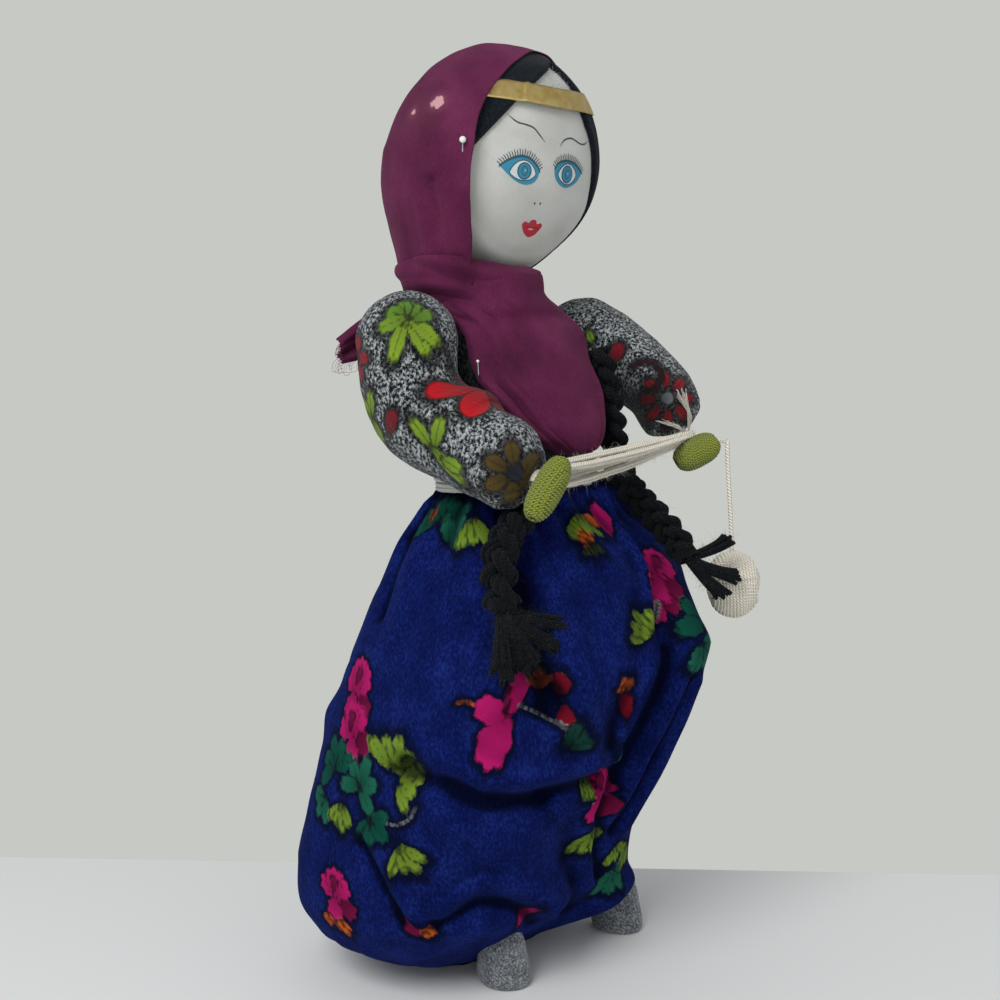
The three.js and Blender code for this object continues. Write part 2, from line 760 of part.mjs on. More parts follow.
mesh("head", cut(headBall(0), intoHead(neckBore), chinCut), cloth(0xf1f1ee), headGroup);
mesh("hair", hair(), cloth(0x1a1b1f), headGroup);
mesh("forehead_band", foreheadBand(), foil(0xc9a94f), headGroup);
mesh("scarf_hood", hood(), cloth(0x6f2342), headGroup);

// Scarf below the hood: the wrap round the neck, the bib on the chest and the back corner
function scarfWrap() {
  const rows = [
    [wrapBottom, wrapHalfWidth - 1, wrapHalfDepth - 1],
    [wrapBottom + 6, wrapHalfWidth + 2, wrapHalfDepth + 2],
    [wrapBottom + 13, wrapHalfWidth, wrapHalfDepth],
    [collarTop, wrapHalfWidth + 2, wrapHalfDepth + 1],
  ];
  const centre = (height) => vec(-2, wrapBack, height);
  const outer = rows.map(([z, a, b]) => ring(centre(z), X, Y, a, b, 22));
  const inner = rows.map(([z, a, b]) => ring(centre(z), X, Y, a - wrapWall, b - wrapWall, 22));
  const room = sleeveRadius + 2 * touchGap;
  const sleeveRoom = arms.map((arm) => ellipsoid(room, room, room, 20, 12).translate(...arm.path[0]));
  const shell = loft([...outer, ...inner.reverse()], true);
  const chest = torsoLoft(torsoBottom, bodiceTop, bodiceOuter + touchGap);
  return cut(shell, chest, torsoLoft(torsoBottom, torsoTop, touchGap, 1), ...sleeveRoom);
}

// Bib: rows of points from the wrap to the tip, front face and back face, folds falling to the tip
function bibPoint(u, v, front) {
  const height = mix(wrapBottom - touchGap, bibTip, v);
  const [rightEdge, leftEdge] = sectionAt(bibEdges, v);
  const across = mix(rightEdge, leftEdge, (u + 1) / 2);
  const [halfWidth, halfDepth, back] = sectionAt(torsoSections, height);
  const angle = Math.asin(across / (halfWidth + bodiceOuter));
  const fold = Math.abs(1.2 * Math.sin(5 * u + 4 * v) * (1 - v) * v * 4);
  const lift = bodiceOuter + touchGap + 0.5 + fold + (front ? scarfWall : 0);
  const x = (halfWidth + lift) * Math.sin(angle);
  return vec(x, back - (halfDepth + lift + bibSwell * v) * Math.cos(angle), height);
}

function scarfCorner() {
  const root = vec(-wrapHalfWidth * 0.85, wrapBack + wrapHalfDepth * 0.715, wrapBottom + 6);
  const tip = vec(-wrapHalfWidth - cornerLength, wrapBack + wrapHalfDepth * 0.84, wrapBottom - 8);
  return sheet(6, 4, (t, u, front) => {
    const half = mix(cornerWidth / 2, 6, t);
    const wave = 2 * Math.sin(3 * t) + 1.2 * Math.sin(4.4 * u + 3 * t);
    return root.clone().lerp(tip, t).add(vec(0, wave + (front ? 0 : scarfWall), half * u));
  });
}

mesh("scarf_wrap", scarfWrap(), cloth(0x6f2342));
mesh("scarf_bib", sheet(12, 8, (v, u, front) => bibPoint(u, v, front)), cloth(0x6f2342));
mesh("scarf_corner", scarfCorner(), cloth(0x6f2342));

// Legs and feet
const legs = [
  { side: -1, name: "right" },
  { side: 1, name: "left" },
];

function legLine(side) {
  const along = (t) => vec(side * legSpread, mix(hipDepth, ankleDepth, t), mix(hipHeight, ankleHeight, t));
  const ankle = vec(side * legSpread, ankleDepth, ankleHeight + touchGap);
  return [hip(side), along(0.3), along(0.7), ankle.clone().add(vec(0, 0, 5)), ankle];
}

function leg(side) {
  const line = legLine(side);
  const above = (share) => line[0].clone().add(vec(0, 0, thighRadius * share));
  const centres = [above(1), above(0.7), ...line];
  const radii = [thighRadius * 0.3, thighRadius * 0.75, thighRadius, mix(thighRadius, ankleRadius, 0.3),
    mix(thighRadius, ankleRadius, 0.7), ankleRadius, ankleRadius];
  return sweep(centres, radii, 12);
}

function foot(side, grow = 0) {
  const rows = [
    [0, footHalfWidth - 1, footHalfLength - 1, footForward],
    [2, footHalfWidth, footHalfLength, footForward],
    [12, footHalfWidth, footHalfLength - 1, footForward],
    [20, footHalfWidth - 0.5, footHalfLength - 3, footForward * 0.5],
    [ankleHeight, ankleRadius, ankleRadius, 0],
  ];
  const rings = rows.map(([z, a, b, forward], i) => {
    const drop = grow && i === 0 ? -2 : 0;
    const rise = grow && i === rows.length - 1 ? 1 : 0;
    const centre = vec(side * legSpread, ankleDepth - forward, z + drop + rise);
    return ring(centre, X, Y, a + grow, b + grow, 12);
  });
  return loft(rings);
}

for (const { side, name } of legs) {
  mesh(`leg_${name}`, cut(leg(side), legChannel), cloth(0x6d7275));
  mesh(`foot_${name}`, cut(foot(side), legChannel), cloth(0x767b7e));
}

function bump(value, middle, width) {
  return Math.exp(-(((value - middle) / width) ** 2));
}

// How far a place on the trousers lies from one piece of a fold's line, in millimetres on the cloth
function foldGap(degrees, height, from, to) {
  const x = (((degrees - from[0] + 540) % 360) - 180) * foldDegree;
  const y = height - from[1];
  const runX = (to[0] - from[0]) * foldDegree;
  const runY = to[1] - from[1];
  const t = THREE.MathUtils.clamp((x * runX + y * runY) / (runX ** 2 + runY ** 2), 0, 1);
  return Math.hypot(x - t * runX, y - t * runY);
}

function foldRise(degrees, height) {
  return trouserFolds.reduce((sum, { rise, width, line }) => {
    const gaps = line.slice(1).map((to, i) => foldGap(degrees, height, line[i], to));
    return sum + rise * bump(Math.min(...gaps), 0, width);
  }, 0);
}

// Trousers: one thick shell, in two halves that part on a cylinder round the hips' axis
function trouserRing(row, shrink) {
  const [height, across, back, halfWidth, halfDepth] = row;
  const { smoothstep } = THREE.MathUtils;
  const top = trouserSections[0][0];
  const fullness = smoothstep(height, 0, hemFlatHeight) * (1 - smoothstep(height, top - gatherDepth, top));
  const points = [];
  for (let j = 0; j < trouserSteps; j++) {
    const degrees = (360 * j) / trouserSteps;
    const [c, s] = [Math.cos(degrees * deg), Math.sin(degrees * deg)];
    const [acrossShare, backShare] = [Math.abs(c / halfWidth), Math.abs(s / halfDepth)];
    const even = acrossShare ** trouserSquareness + backShare ** trouserSquareness;
    const folds = foldRise(degrees, height) * fullness;
    const ballRoom = ballDent * bump(degrees, ballDentAngle, 15) * bump(height, ballDentHeight, 34);
    const radius = even ** (-1 / trouserSquareness) + folds - ballRoom - shrink;
    points.push(vec(across + radius * c, back + radius * s, height));
  }
  return points;
}

function trouserRow(height) {
  return [height, ...sectionAt(trouserSections, height)];
}

function trousers() {
  const heights = trouserRowHeights.map((height) => height * stretch);
  const outer = loft(heights.map((height) => trouserRing(trouserRow(height), 0)));
  const innerRows = heights.filter((height) => height > trouserWall + 2).map(trouserRow);
  const lid = [innerRows[0][0] + 4, ...innerRows[0].slice(1)];
  const inner = loft([lid, ...innerRows, trouserRow(trouserWall)].map((row) => trouserRing(row, trouserWall)));
  const tunnels = legs.flatMap(({ side }) => [lowerLegRoom(side), foot(side, swingGap)]);
  return cut(outer, inner, ...tunnels);
}

function lowerLegRoom(side) {
  const foot = vec(side * legSpread, ankleDepth, ankleHeight - 1);
  const knee = vec(side * legSpread, mix(ankleDepth, hipDepth, 0.3), mix(ankleHeight, hipHeight, 0.3));
  return sweep([foot, knee], [ankleRadius + swingGap, mix(ankleRadius, thighRadius, 0.3) + swingGap], 12);
}

function hipCylinder(radius) {
  const geometry = new THREE.CylinderGeometry(radius, radius, hipCylinderLength, 48);
  return geometry.rotateZ(Math.PI / 2).translate(0, hipDepth, hipHeight);
}

const wholeTrousers = toSolid(trousers());
const upperTrousers = wholeTrousers.intersect(toSolid(hipCylinder(trouserSplitRadius - swingGap / 2)));
const lowerTrousers = wholeTrousers.subtract(toSolid(hipCylinder(trouserSplitRadius + swingGap / 2)));
mesh("trousers_upper", toGeometry(upperTrousers), cloth(0x1c2f86));
mesh("trousers_lower", toGeometry(lowerTrousers), cloth(0x1c2f86));

// Braids with their ties and tassels
const braids = [
  {
    name: "right",
    path: rightBraidPath,
    prongs: [[27, -10, -3], [8, -5, -20], [-5, -4, -21]],
  },
  {
    name: "left",
    path: leftBraidPath,
    prongs: [[21, -9, 8], [20, -8, -14], [10, -4, -21]],
  },
];

// Each braid parts where it comes out from under the arms. The lower part swings about that place,
// so its top is round and its centre is the hinge.
for (const braid of braids) {
  const line = smoothPath(braid.path.map((p) => vec(...p)), 22);
  const last = line.length - 1;
  const radii = line.map((_, i) => mix(braidRadius, braidEndRadius, Math.min((i / last) * 1.6, 1)));
  radii[last] = braidStem;
  radii[last - 1] = braidStem;
  const part = line.findIndex((point) => point.z < braidHingeHeight);
  const along = line[part + 1].clone().sub(line[part]).normalize();
  const round = radii[part];
  const hinge = line[part].clone().addScaledVector(along, round + touchGap);
  const rest = line.slice(part).filter((point) => point.clone().sub(hinge).dot(along) > 1);
  const capAngles = [75, 50, 25, 0];
  const capCentre = (angle) => hinge.clone().addScaledVector(along, -round * Math.sin(angle * deg));
  const cap = capAngles.map(capCentre);
  const capRadii = capAngles.map((angle) => round * Math.cos(angle * deg));
  const end = line[last];
  const endAlong = end.clone().sub(line[last - 1]).normalize();
  const top = sweep(line.slice(0, part + 1), radii.slice(0, part + 1), 8);
  mesh(`braid_${braid.name}`, top, cloth(0x14171c));
  const low = sweep([...cap, ...rest], [...capRadii, ...radii.slice(radii.length - rest.length)], 8);
  mesh(`braid_end_${braid.name}`, low, cloth(0x14171c));
  mesh(`braid_tie_${braid.name}`, braidTie(end, endAlong), cloth(0x101216));
  mesh(`tassel_${braid.name}`, tassel(end, endAlong, braid.prongs), cloth(0x14171c));
  console.log(`hinge of braid_end_${braid.name}: ${hinge.toArray().map((v) => v.toFixed(2)).join(" ")}`);
}

// A short collar round the braid's end and the tassel's root
function braidTie(end, along) {
  const inner = braidStem + touchGap;
  const outer = inner + braidTieWall;
  const from = end.clone().addScaledVector(along, -braidTieLength * 0.35);
  const to = end.clone().addScaledVector(along, braidTieLength * 0.65);
  return cut(cylinder(outer, from, to, 12), cylinder(inner, from.clone().addScaledVector(along, -1),
    to.clone().addScaledVector(along, 1), 12));
}

function tassel(end, along, prongs) {
  const root = end.clone().addScaledVector(along, touchGap);
  const knot = root.clone().addScaledVector(along, braidTieLength * 0.65 + 2 * prongRadius);
  const stem = cylinder(braidStem - 0.1, root, knot, 9);
  const strands = prongs.map(([x, y, z]) => {
    const tip = root.clone().add(vec(x, y, z));
    const middle = knot.clone().lerp(tip, 0.5).add(vec(0, -1, 1));
    const start = knot.clone().addScaledVector(along, -1);
    return sweep([start, middle, tip], [prongRadius, prongRadius, prongRadius * 0.7], 7);
  });
  return join(stem, ...strands);
}

// Pins that lie on the scarf, head and shaft in one
function pin(at, direction) {
  const shaftEnd = at.clone().addScaledVector(direction.normalize(), pinLength);
  const head = ellipsoid(pinHeadRadius, pinHeadRadius, pinHeadRadius, 10, 6).translate(...at);
  return join(head, cylinder(pinRadius, at, shaftEnd, 6));
}

const pinLift = pinHeadRadius + touchGap;
const crownAround = vec(-0.86, -0.42, 0.12).normalize();
const crownReach = headHalfWidth + hoodGrow + hoodWall + pinHeadRadius - 0.75;
const pinMaterial = () => new THREE.MeshStandardMaterial({ color: 0xf2f0ec, roughness: 0.3, metalness: 0 });
const crownPin = crownAround.clone().multiplyScalar(crownReach);
mesh("pin_crown", pin(crownPin, vec(0, 0, -1)), pinMaterial(), headGroup);
const pinOut = vec(-0.7, -0.7, 0).multiplyScalar(pinLift + 0.3);
const chestFrom = bibPoint(-0.85, 0.3, true).add(pinOut);
mesh("pin_chest", pin(chestFrom, bibPoint(-0.85, 0.6, true).add(pinOut).sub(chestFrom)), pinMaterial());
const wrapOut = vec(-0.62, 0.78, 0);
const wrapReach = vec(wrapHalfWidth + pinLift - 0.1, wrapHalfDepth + pinLift + 0.9, 0);
const wrapPin = wrapOut.clone().multiply(wrapReach).add(vec(-2, wrapBack, collarTop - 4));
mesh("pin_shoulder", pin(wrapPin, vec(0.78, 0.62, 0)), pinMaterial());

// Stand the doll on the middle of its own outline, the yarn strand and ball left out
function centreOnFloor() {
  const box = new THREE.Box3();
  doll.updateMatrixWorld(true);
  doll.traverse((node) => {
    const onStrand = node.name === "strand" || node.name.startsWith("ball_");
    if (node.isMesh && !onStrand) box.union(new THREE.Box3().setFromObject(node, true));
  });
  const middle = box.getCenter(vec(0, 0, 0));
  doll.position.set(-middle.x, -middle.y, -box.min.z);
  console.log(`moved by ${doll.position.toArray().map((v) => v.toFixed(3)).join(" ")} mm`);
  console.log(`height ${(box.max.z - box.min.z).toFixed(1)} mm`);
}

centreOnFloor();

export default doll;
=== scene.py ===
"""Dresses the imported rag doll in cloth, felt, yarn and paint. Lengths are millimetres in the doll's
own place until they reach a mesh: it faces -Y, its left hand is on +X and its feet stand on the floor."""

import math

import bpy
import numpy as np
from mathutils import Matrix, Vector
from mathutils.bvhtree import BVHTree


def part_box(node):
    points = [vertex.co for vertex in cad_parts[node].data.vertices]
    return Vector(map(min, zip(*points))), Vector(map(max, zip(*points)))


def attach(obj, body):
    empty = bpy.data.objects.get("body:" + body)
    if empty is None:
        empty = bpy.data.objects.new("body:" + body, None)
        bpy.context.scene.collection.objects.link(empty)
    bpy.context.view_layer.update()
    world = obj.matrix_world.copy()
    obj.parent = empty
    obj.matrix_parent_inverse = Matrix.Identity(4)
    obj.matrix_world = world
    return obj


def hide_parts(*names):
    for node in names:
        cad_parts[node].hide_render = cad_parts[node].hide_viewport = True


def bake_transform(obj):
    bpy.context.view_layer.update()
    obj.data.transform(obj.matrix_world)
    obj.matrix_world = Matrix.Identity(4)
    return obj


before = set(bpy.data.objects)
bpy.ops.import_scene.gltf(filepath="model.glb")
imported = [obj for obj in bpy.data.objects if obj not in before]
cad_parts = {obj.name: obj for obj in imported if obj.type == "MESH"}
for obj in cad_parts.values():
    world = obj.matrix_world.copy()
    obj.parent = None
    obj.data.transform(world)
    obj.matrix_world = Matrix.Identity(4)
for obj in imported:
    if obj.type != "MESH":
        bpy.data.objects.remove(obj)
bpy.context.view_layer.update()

# The doll's own middle, from the neck stick across and from the right foot in depth.
stick_low, stick_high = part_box("neck_stick")
foot_low, foot_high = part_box("foot_right")
middle = np.array([(stick_low.x + stick_high.x) / 2, (foot_low.y + foot_high.y) / 2 + 0.009, 0.0])


def place(points):
    """Points in the doll's millimetres as points of the row frame, in metres."""
    return np.asarray(points, float) * 0.001 + middle


def unplace(points):
    """Points of the row frame, in metres, as points in the doll's millimetres."""
    return (np.asarray(points, float) - middle) * 1000


def node_points(name):
    """A carried-over solid's points in the doll's millimetres."""
    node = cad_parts[name]
    return unplace(np.array([node.matrix_world @ v.co for v in node.data.vertices]))


def unit(ways):
    """A vector, or each row of many, made one long."""
    return ways / np.linalg.norm(ways, axis=-1, keepdims=True)


def smoothstep(low, high, value):
    """0 below low, 1 above high and a smooth rise between, three squares less two cubes."""
    t = np.clip((np.asarray(value, float) - low) / (high - low), 0, 1)
    return t * t * (3 - 2 * t)


def bump(value, centre, width):
    """A bell of height 1 at centre that falls to a third one width away."""
    return np.exp(-(((np.asarray(value, float) - centre) / width) ** 2))


def wobble(points, size, seed):
    """Smooth noise from -1 to 1 whose waves are about size long: a sum of six sines in random directions."""
    chance = np.random.default_rng(seed)
    total = np.zeros(np.asarray(points).shape[:-1])
    for _ in range(6):
        way = chance.normal(size=3)
        way *= 2 * np.pi / (size * np.linalg.norm(way) * chance.uniform(0.7, 1.5))
        total += np.sin(points @ way + chance.uniform(0, 6.3))
    return total / 3.5


def resample(path, count):
    """count points spread evenly along a smooth curve through the path's points."""
    path = np.asarray(path, float)
    ends = np.vstack([2 * path[0] - path[1], path, 2 * path[-1] - path[-2]])
    fine = []
    for a, b, c, d in zip(ends[:-3], ends[1:-2], ends[2:-1], ends[3:]):
        t = np.linspace(0, 1, 24, endpoint=False)[:, None]
        fine.append(0.5 * (2 * b + (c - a) * t + (2 * a - 5 * b + 4 * c - d) * t**2
                           + (3 * b - a - 3 * c + d) * t**3))
    fine = np.vstack([*fine, path[-1:]])
    run = np.r_[0, np.cumsum(np.linalg.norm(np.diff(fine, axis=0), axis=1))]
    at = np.linspace(0, run[-1], count)
    return np.stack([np.interp(at, run, fine[:, k]) for k in range(fine.shape[1])], 1)


# Meshes


def make_mesh(name, points, faces, body=None, uv=None, attributes=None):
    """A mesh from points in the doll's millimetres and the body it rides on."""
    data = bpy.data.meshes.new(name)
    data.from_pydata(place(points).tolist(), [], [list(f) for f in faces])
    if uv is not None:
        corner = np.zeros(len(data.loops), np.int32)
        data.loops.foreach_get("vertex_index", corner)
        data.uv_layers.new(name="UVMap").data.foreach_set("uv", np.asarray(uv, float)[corner].ravel())
    for key, values in (attributes or {}).items():
        values = np.asarray(values, float)
        kind, member = ("FLOAT", "value") if values.ndim == 1 else ("FLOAT_VECTOR", "vector")
        data.attributes.new(key, kind, "POINT").data.foreach_set(member, values.ravel())
    data.polygons.foreach_set("use_smooth", [True] * len(data.polygons))
    data.update()
    piece = bpy.data.objects.new(name, data)
    bpy.context.scene.collection.objects.link(piece)
    if body:
        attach(piece, body)
    return piece


def grid_faces(rows, columns, wrap=False, start=0):
    """The quads of a grid of points, its last column joined to the first where it wraps."""
    r = np.arange(rows - 1)[:, None] * columns
    c = np.arange(columns if wrap else columns - 1)[None]
    after = (c + 1) % columns
    quads = np.stack([r + c, r + after, r + columns + after, r + columns + c], -1)
    return (quads.reshape(-1, 4) + start).tolist()


def closed_grid(name, points, body, attributes=None):
    """A tube-like grid that wraps round, closed at its first and last rows."""
    rows, columns = points.shape[:2]
    faces = grid_faces(rows, columns, True)
    faces.append(list(range(columns - 1, -1, -1)))
    faces.append([(rows - 1) * columns + k for k in range(columns)])
    return make_mesh(name, points.reshape(-1, 3), faces, body, attributes=attributes)


def solid_cloth(piece, thickness, offset=-1):
    """Gives a sheet of points its cloth's thickness, in millimetres."""
    rim = piece.modifiers.new("thickness", "SOLIDIFY")
    rim.thickness = thickness * 0.001
    rim.offset = offset
    return piece


def frames_along(path):
    """Two unit vectors square to the path at each point, turned as little as can be along it."""
    along = unit(np.gradient(path, axis=0))
    sides = [unit(np.cross(along[0], [0, 0, 1] if abs(along[0][2]) < 0.9 else [1, 0, 0]))]
    for way in along[1:]:
        sides.append(unit(sides[-1] - way * (sides[-1] @ way)))
    sides = np.array(sides)
    return sides, np.cross(along, sides)


def tubes(name, paths, radius, body=None, sides=6):
    """Round yarns along the paths, as one mesh. U goes round each yarn and V is millimetres along it."""
    angle = np.linspace(0, 2 * np.pi, sides, endpoint=False)
    points, faces, uv = [], [], []
    start = 0
    for path in paths:
        path = np.asarray(path, float)
        side, up = frames_along(path)
        size = np.broadcast_to(radius, len(path)).astype(float)
        ring = side[:, None] * np.cos(angle)[:, None] + up[:, None] * np.sin(angle)[:, None]
        rows = path[:, None] + ring * size[:, None, None]
        run = np.r_[0, np.cumsum(np.linalg.norm(np.diff(path, axis=0), axis=1))]
        points.append(rows.reshape(-1, 3))
        uv.append(np.stack(np.broadcast_arrays(angle[None] / (2 * np.pi), run[:, None]), -1).reshape(-1, 2))
        faces += grid_faces(len(path), sides, True, start)
        faces.append(list(range(start + sides - 1, start - 1, -1)))
        faces.append([start + (len(path) - 1) * sides + k for k in range(sides)])
        start += len(path) * sides
    return make_mesh(name, np.vstack(points), faces, body, uv=np.vstack(uv))


def fuzz(name, roots, outward, length, width, body=None, seed=1, lie=1.0):
    """Loose fibres as thin tapering ribbons, from each root along its outward way, bent at random."""
    chance = np.random.default_rng(seed)
    count = len(roots)
    way = unit(outward + lie * chance.normal(size=(count, 3)))
    bend = chance.normal(size=(count, 3)) * 0.5
    across = unit(np.cross(way, chance.normal(size=(count, 3))))
    reach = length * chance.uniform(0.35, 1, count)[:, None]
    rows = []
    for t in (0, 0.35, 0.7, 1):
        line = roots + way * reach * t + bend * reach * t * t
        half = across * width * (1 - 0.8 * t)
        rows.append(np.stack([line - half, line + half], 1))
    points = np.stack(rows, 1).reshape(-1, 3)
    base = np.arange(count)[:, None, None] * 8
    strip = np.array([[0, 1, 3, 2], [2, 3, 5, 4], [4, 5, 7, 6]])[None]
    return make_mesh(name, points, (base + strip).reshape(-1, 4).tolist(), body)


def yarn_fuzz(name, paths, radius, count, length, body=None, seed=1):
    """Loose fibres that stand off yarns in every direction, from random places along their paths."""
    chance = np.random.default_rng(seed)
    points = np.vstack(paths)
    roots = points[chance.integers(0, len(points), count)]
    outward = unit(chance.normal(size=(count, 3)))
    return fuzz(name, roots + outward * radius, outward, length, 0.07, body, seed + 1, 0.6)


def surface_samples(piece, count, seed):
    """Random places on a mesh and the way out of it there, in the doll's millimetres."""
    chance = np.random.default_rng(seed)
    data = piece.data
    centres = np.zeros(len(data.polygons) * 3)
    normals = np.zeros(len(data.polygons) * 3)
    areas = np.zeros(len(data.polygons))
    data.polygons.foreach_get("center", centres)
    data.polygons.foreach_get("normal", normals)
    data.polygons.foreach_get("area", areas)
    centres, normals = unplace(centres.reshape(-1, 3)), normals.reshape(-1, 3)
    picked = chance.choice(len(areas), count, p=areas / areas.sum())
    spread = np.minimum(np.sqrt(areas[picked]) * 400, 0.6)[:, None]
    return centres[picked] + chance.uniform(-1, 1, (count, 3)) * spread, normals[picked]


# Materials


def linear(code):
    """A colour written as six sRGB hex digits, as linear red, green and blue with alpha 1."""
    values = [int(code[i:i + 2], 16) / 255 for i in (0, 2, 4)]
    return [v / 12.92 if v <= 0.04045 else ((v + 0.055) / 1.055) ** 2.4 for v in values] + [1]


def feed(tree, socket, value):
    """Gives an input a number or a colour, or links another node's output to it."""
    if isinstance(value, bpy.types.NodeSocket):
        tree.links.new(value, socket)
    else:
        socket.default_value = value


def add_node(tree, kind, inputs=None, **settings):
    """One shader node with its settings, its inputs given as numbers, colours or other nodes' outputs."""
    made = tree.nodes.new(kind)
    for key, value in settings.items():
        setattr(made, key, value)
    for key, value in (inputs or {}).items():
        feed(tree, made.inputs[key], value)
    return made


def new_material(name, **shader):
    """A material, its node tree and its principled shader with constant values set."""
    made = bpy.data.materials.new(name)
    made.use_nodes = True
    tree = made.node_tree
    principled = tree.nodes["Principled BSDF"]
    for key, value in shader.items():
        principled.inputs[key.replace("_", " ")].default_value = value
    return made, tree, principled


def ramp(tree, factor, stops):
    """A colour ramp through (place, hex colour) stops."""
    made = add_node(tree, "ShaderNodeValToRGB", {"Fac": factor})
    made.color_ramp.elements.remove(made.color_ramp.elements[1])
    made.color_ramp.elements[0].position = stops[0][0]
    made.color_ramp.elements[0].color = linear(stops[0][1])
    for at, code in stops[1:]:
        made.color_ramp.elements.new(at).color = linear(code)
    return made.outputs["Color"]


def mix_colour(tree, factor, a, b, how="MIX"):
    """Colour a turned into colour b by factor."""
    made = add_node(tree, "ShaderNodeMix", data_type="RGBA", blend_type=how)
    for place_no, value in ((0, factor), (6, a), (7, b)):
        feed(tree, made.inputs[place_no], value)
    return made.outputs[2]


def maths(tree, operation, *values):
    """One arithmetic node on numbers or outputs."""
    made = add_node(tree, "ShaderNodeMath", operation=operation)
    for socket, value in zip(made.inputs, values):
        feed(tree, socket, value)
    return made.outputs[0]


def added(tree, first, first_share, second, second_share):
    """The sum of two outputs, each times its own share."""
    first_part = maths(tree, "MULTIPLY", first, first_share)
    second_part = maths(tree, "MULTIPLY", second, second_share)
    return maths(tree, "ADD", first_part, second_part)


def field(tree, name, output="Fac"):
    """The value that a mesh keeps at each point under a name."""
    return add_node(tree, "ShaderNodeAttribute", attribute_name=name).outputs[output]


def between(tree, value, low, high, least=0.0, most=1.0):
    """A value's place between low and high, as a number from least to most."""
    values = {"Value": value, "From Min": low, "From Max": high, "To Min": least, "To Max": most}
    return add_node(tree, "ShaderNodeMapRange", values).outputs[0]


def object_noise(tree, scale, detail=3.0, stretch=(1, 1, 1)):
    """Noise over the object's own coordinates, scale waves to the metre."""
    where = add_node(tree, "ShaderNodeTexCoord").outputs["Object"]
    mapped = add_node(tree, "ShaderNodeMapping", {"Vector": where, "Scale": stretch}).outputs[0]
    noise = add_node(tree, "ShaderNodeTexNoise", {"Vector": mapped, "Scale": scale, "Detail": detail})
    return noise.outputs["Fac"]


def finish_shader(tree, principled, colour, height=None, distance=0.0):
    """Gives a shader its colour and its bumps from a height field, distance in metres."""
    tree.links.new(colour, principled.inputs["Base Color"])
    if height is not None:
        made = add_node(tree, "ShaderNodeBump", {"Height": height, "Distance": distance, "Strength": 1.0})
        tree.links.new(made.outputs["Normal"], principled.inputs["Normal"])


def grained_material(name, noise, stops, distance=0.0, **shader):
    """A material whose colour runs through the stops over one noise, which also bumps it by distance."""
    made, tree, principled = new_material(name, **shader)
    grain = object_noise(tree, *noise)
    finish_shader(tree, principled, ramp(tree, grain, stops), grain if distance else None, distance)
    return made


def yarn_material(name, dark, light, sheen=0.4, plies=2.0, pitch=3.0):
    """Spun yarn: plies that wind along V, in two shades, with a fibre noise over them."""
    made, tree, principled = new_material(name, Roughness=0.95, Sheen_Weight=sheen, Sheen_Roughness=0.6,
                                          Specular_IOR_Level=0.15)
    uv = add_node(tree, "ShaderNodeUVMap", uv_map="UVMap").outputs[0]
    parts = add_node(tree, "ShaderNodeSeparateXYZ", {"Vector": uv})
    turn = maths(tree, "MULTIPLY_ADD", parts.outputs["Y"], 1 / pitch, parts.outputs["X"])
    wave = maths(tree, "SINE", maths(tree, "MULTIPLY", turn, 2 * math.pi * plies))
    ply = maths(tree, "MULTIPLY_ADD", wave, 0.5, 0.5)
    fibre = object_noise(tree, 2600.0, 4.0)
    height = maths(tree, "MULTIPLY_ADD", ply, 0.6, maths(tree, "MULTIPLY", fibre, 0.5))
    # Painted shade: the grooves between the plies take the dark colour and the crests take the light one.
    finish_shader(tree, principled, ramp(tree, height, [(0.15, dark), (0.75, light)]), height, 0.0005)
    return made


def fibre_material(name, colour):
    """Loose fibres: one colour, a little light let through."""
    made, tree, principled = new_material(name, Roughness=0.9, Sheen_Weight=0.3)
    principled.inputs["Base Color"].default_value = linear(colour)
    through = add_node(tree, "ShaderNodeBsdfTransparent")
    both = add_node(tree, "ShaderNodeMixShader", {0: 0.6, 1: through.outputs[0], 2: principled.outputs[0]})
    tree.links.new(both.outputs[0], tree.nodes["Material Output"].inputs["Surface"])
    return made


def paint(piece, material):
    """Gives a piece its material."""
    piece.data.materials.clear()
    piece.data.materials.append(material)
    return piece


# Camera: where the photograph was taken from, level with the doll's chest and 45 degrees round to its right.
camera_data = bpy.data.cameras.new("camera")
camera_data.angle = math.radians(40)
camera_data.clip_start = 0.05
camera = bpy.data.objects.new("camera", camera_data)
bpy.context.scene.collection.objects.link(camera)
camera_right = Vector((0.71233, -0.69964, -0.05560)).normalized()
camera_ahead = Vector((0.69441, 0.71407, -0.08889)).normalized()
camera_up = camera_right.cross(camera_ahead).normalized()
turned = Matrix((camera_right, camera_up, -camera_ahead)).transposed().to_4x4()
camera.matrix_world = Matrix.Translation(Vector(place([-444.12, -441.03, 268.3]))) @ turned
bpy.context.scene.camera = camera

# Light: a broad window high on the left of the camera, two faint fills and the room's own soft light.


def area_light(name, at, towards, size, power, colour="ffffff"):
    """A square lamp at a place in the doll's millimetres, turned towards another."""
    lamp = bpy.data.lights.new(name, "AREA")
    lamp.size = size
    lamp.energy = power
    lamp.color = linear(colour)[:3]
    made = bpy.data.objects.new(name, lamp)
    bpy.context.scene.collection.objects.link(made)
    start, end = Vector(place(at)), Vector(place(towards))
    turn = (end - start).to_track_quat("-Z", "Y").to_matrix().to_4x4()
    made.matrix_world = Matrix.Translation(start) @ turn


area_light("window", [-1050, -350, 1100], [0, 0, 200], 0.7, 12.5)
area_light("fill", [300, -1300, 500], [0, 0, 200], 1.2, 1.5)
area_light("low_fill", [-500, -900, 60], [0, 0, 330], 0.8, 1.6)
world = bpy.data.worlds.new("room")
bpy.context.scene.world = world
world.use_nodes = True
seen = add_node(world.node_tree, "ShaderNodeLightPath").outputs["Is Camera Ray"]
room_light = mix_colour(world.node_tree, seen, (0.45, 0.46, 0.47, 1), linear("c7c9c4"))
world.node_tree.links.new(room_light, world.node_tree.nodes["Background"].inputs["Color"])
bpy.context.scene.view_settings.view_transform = "Standard"

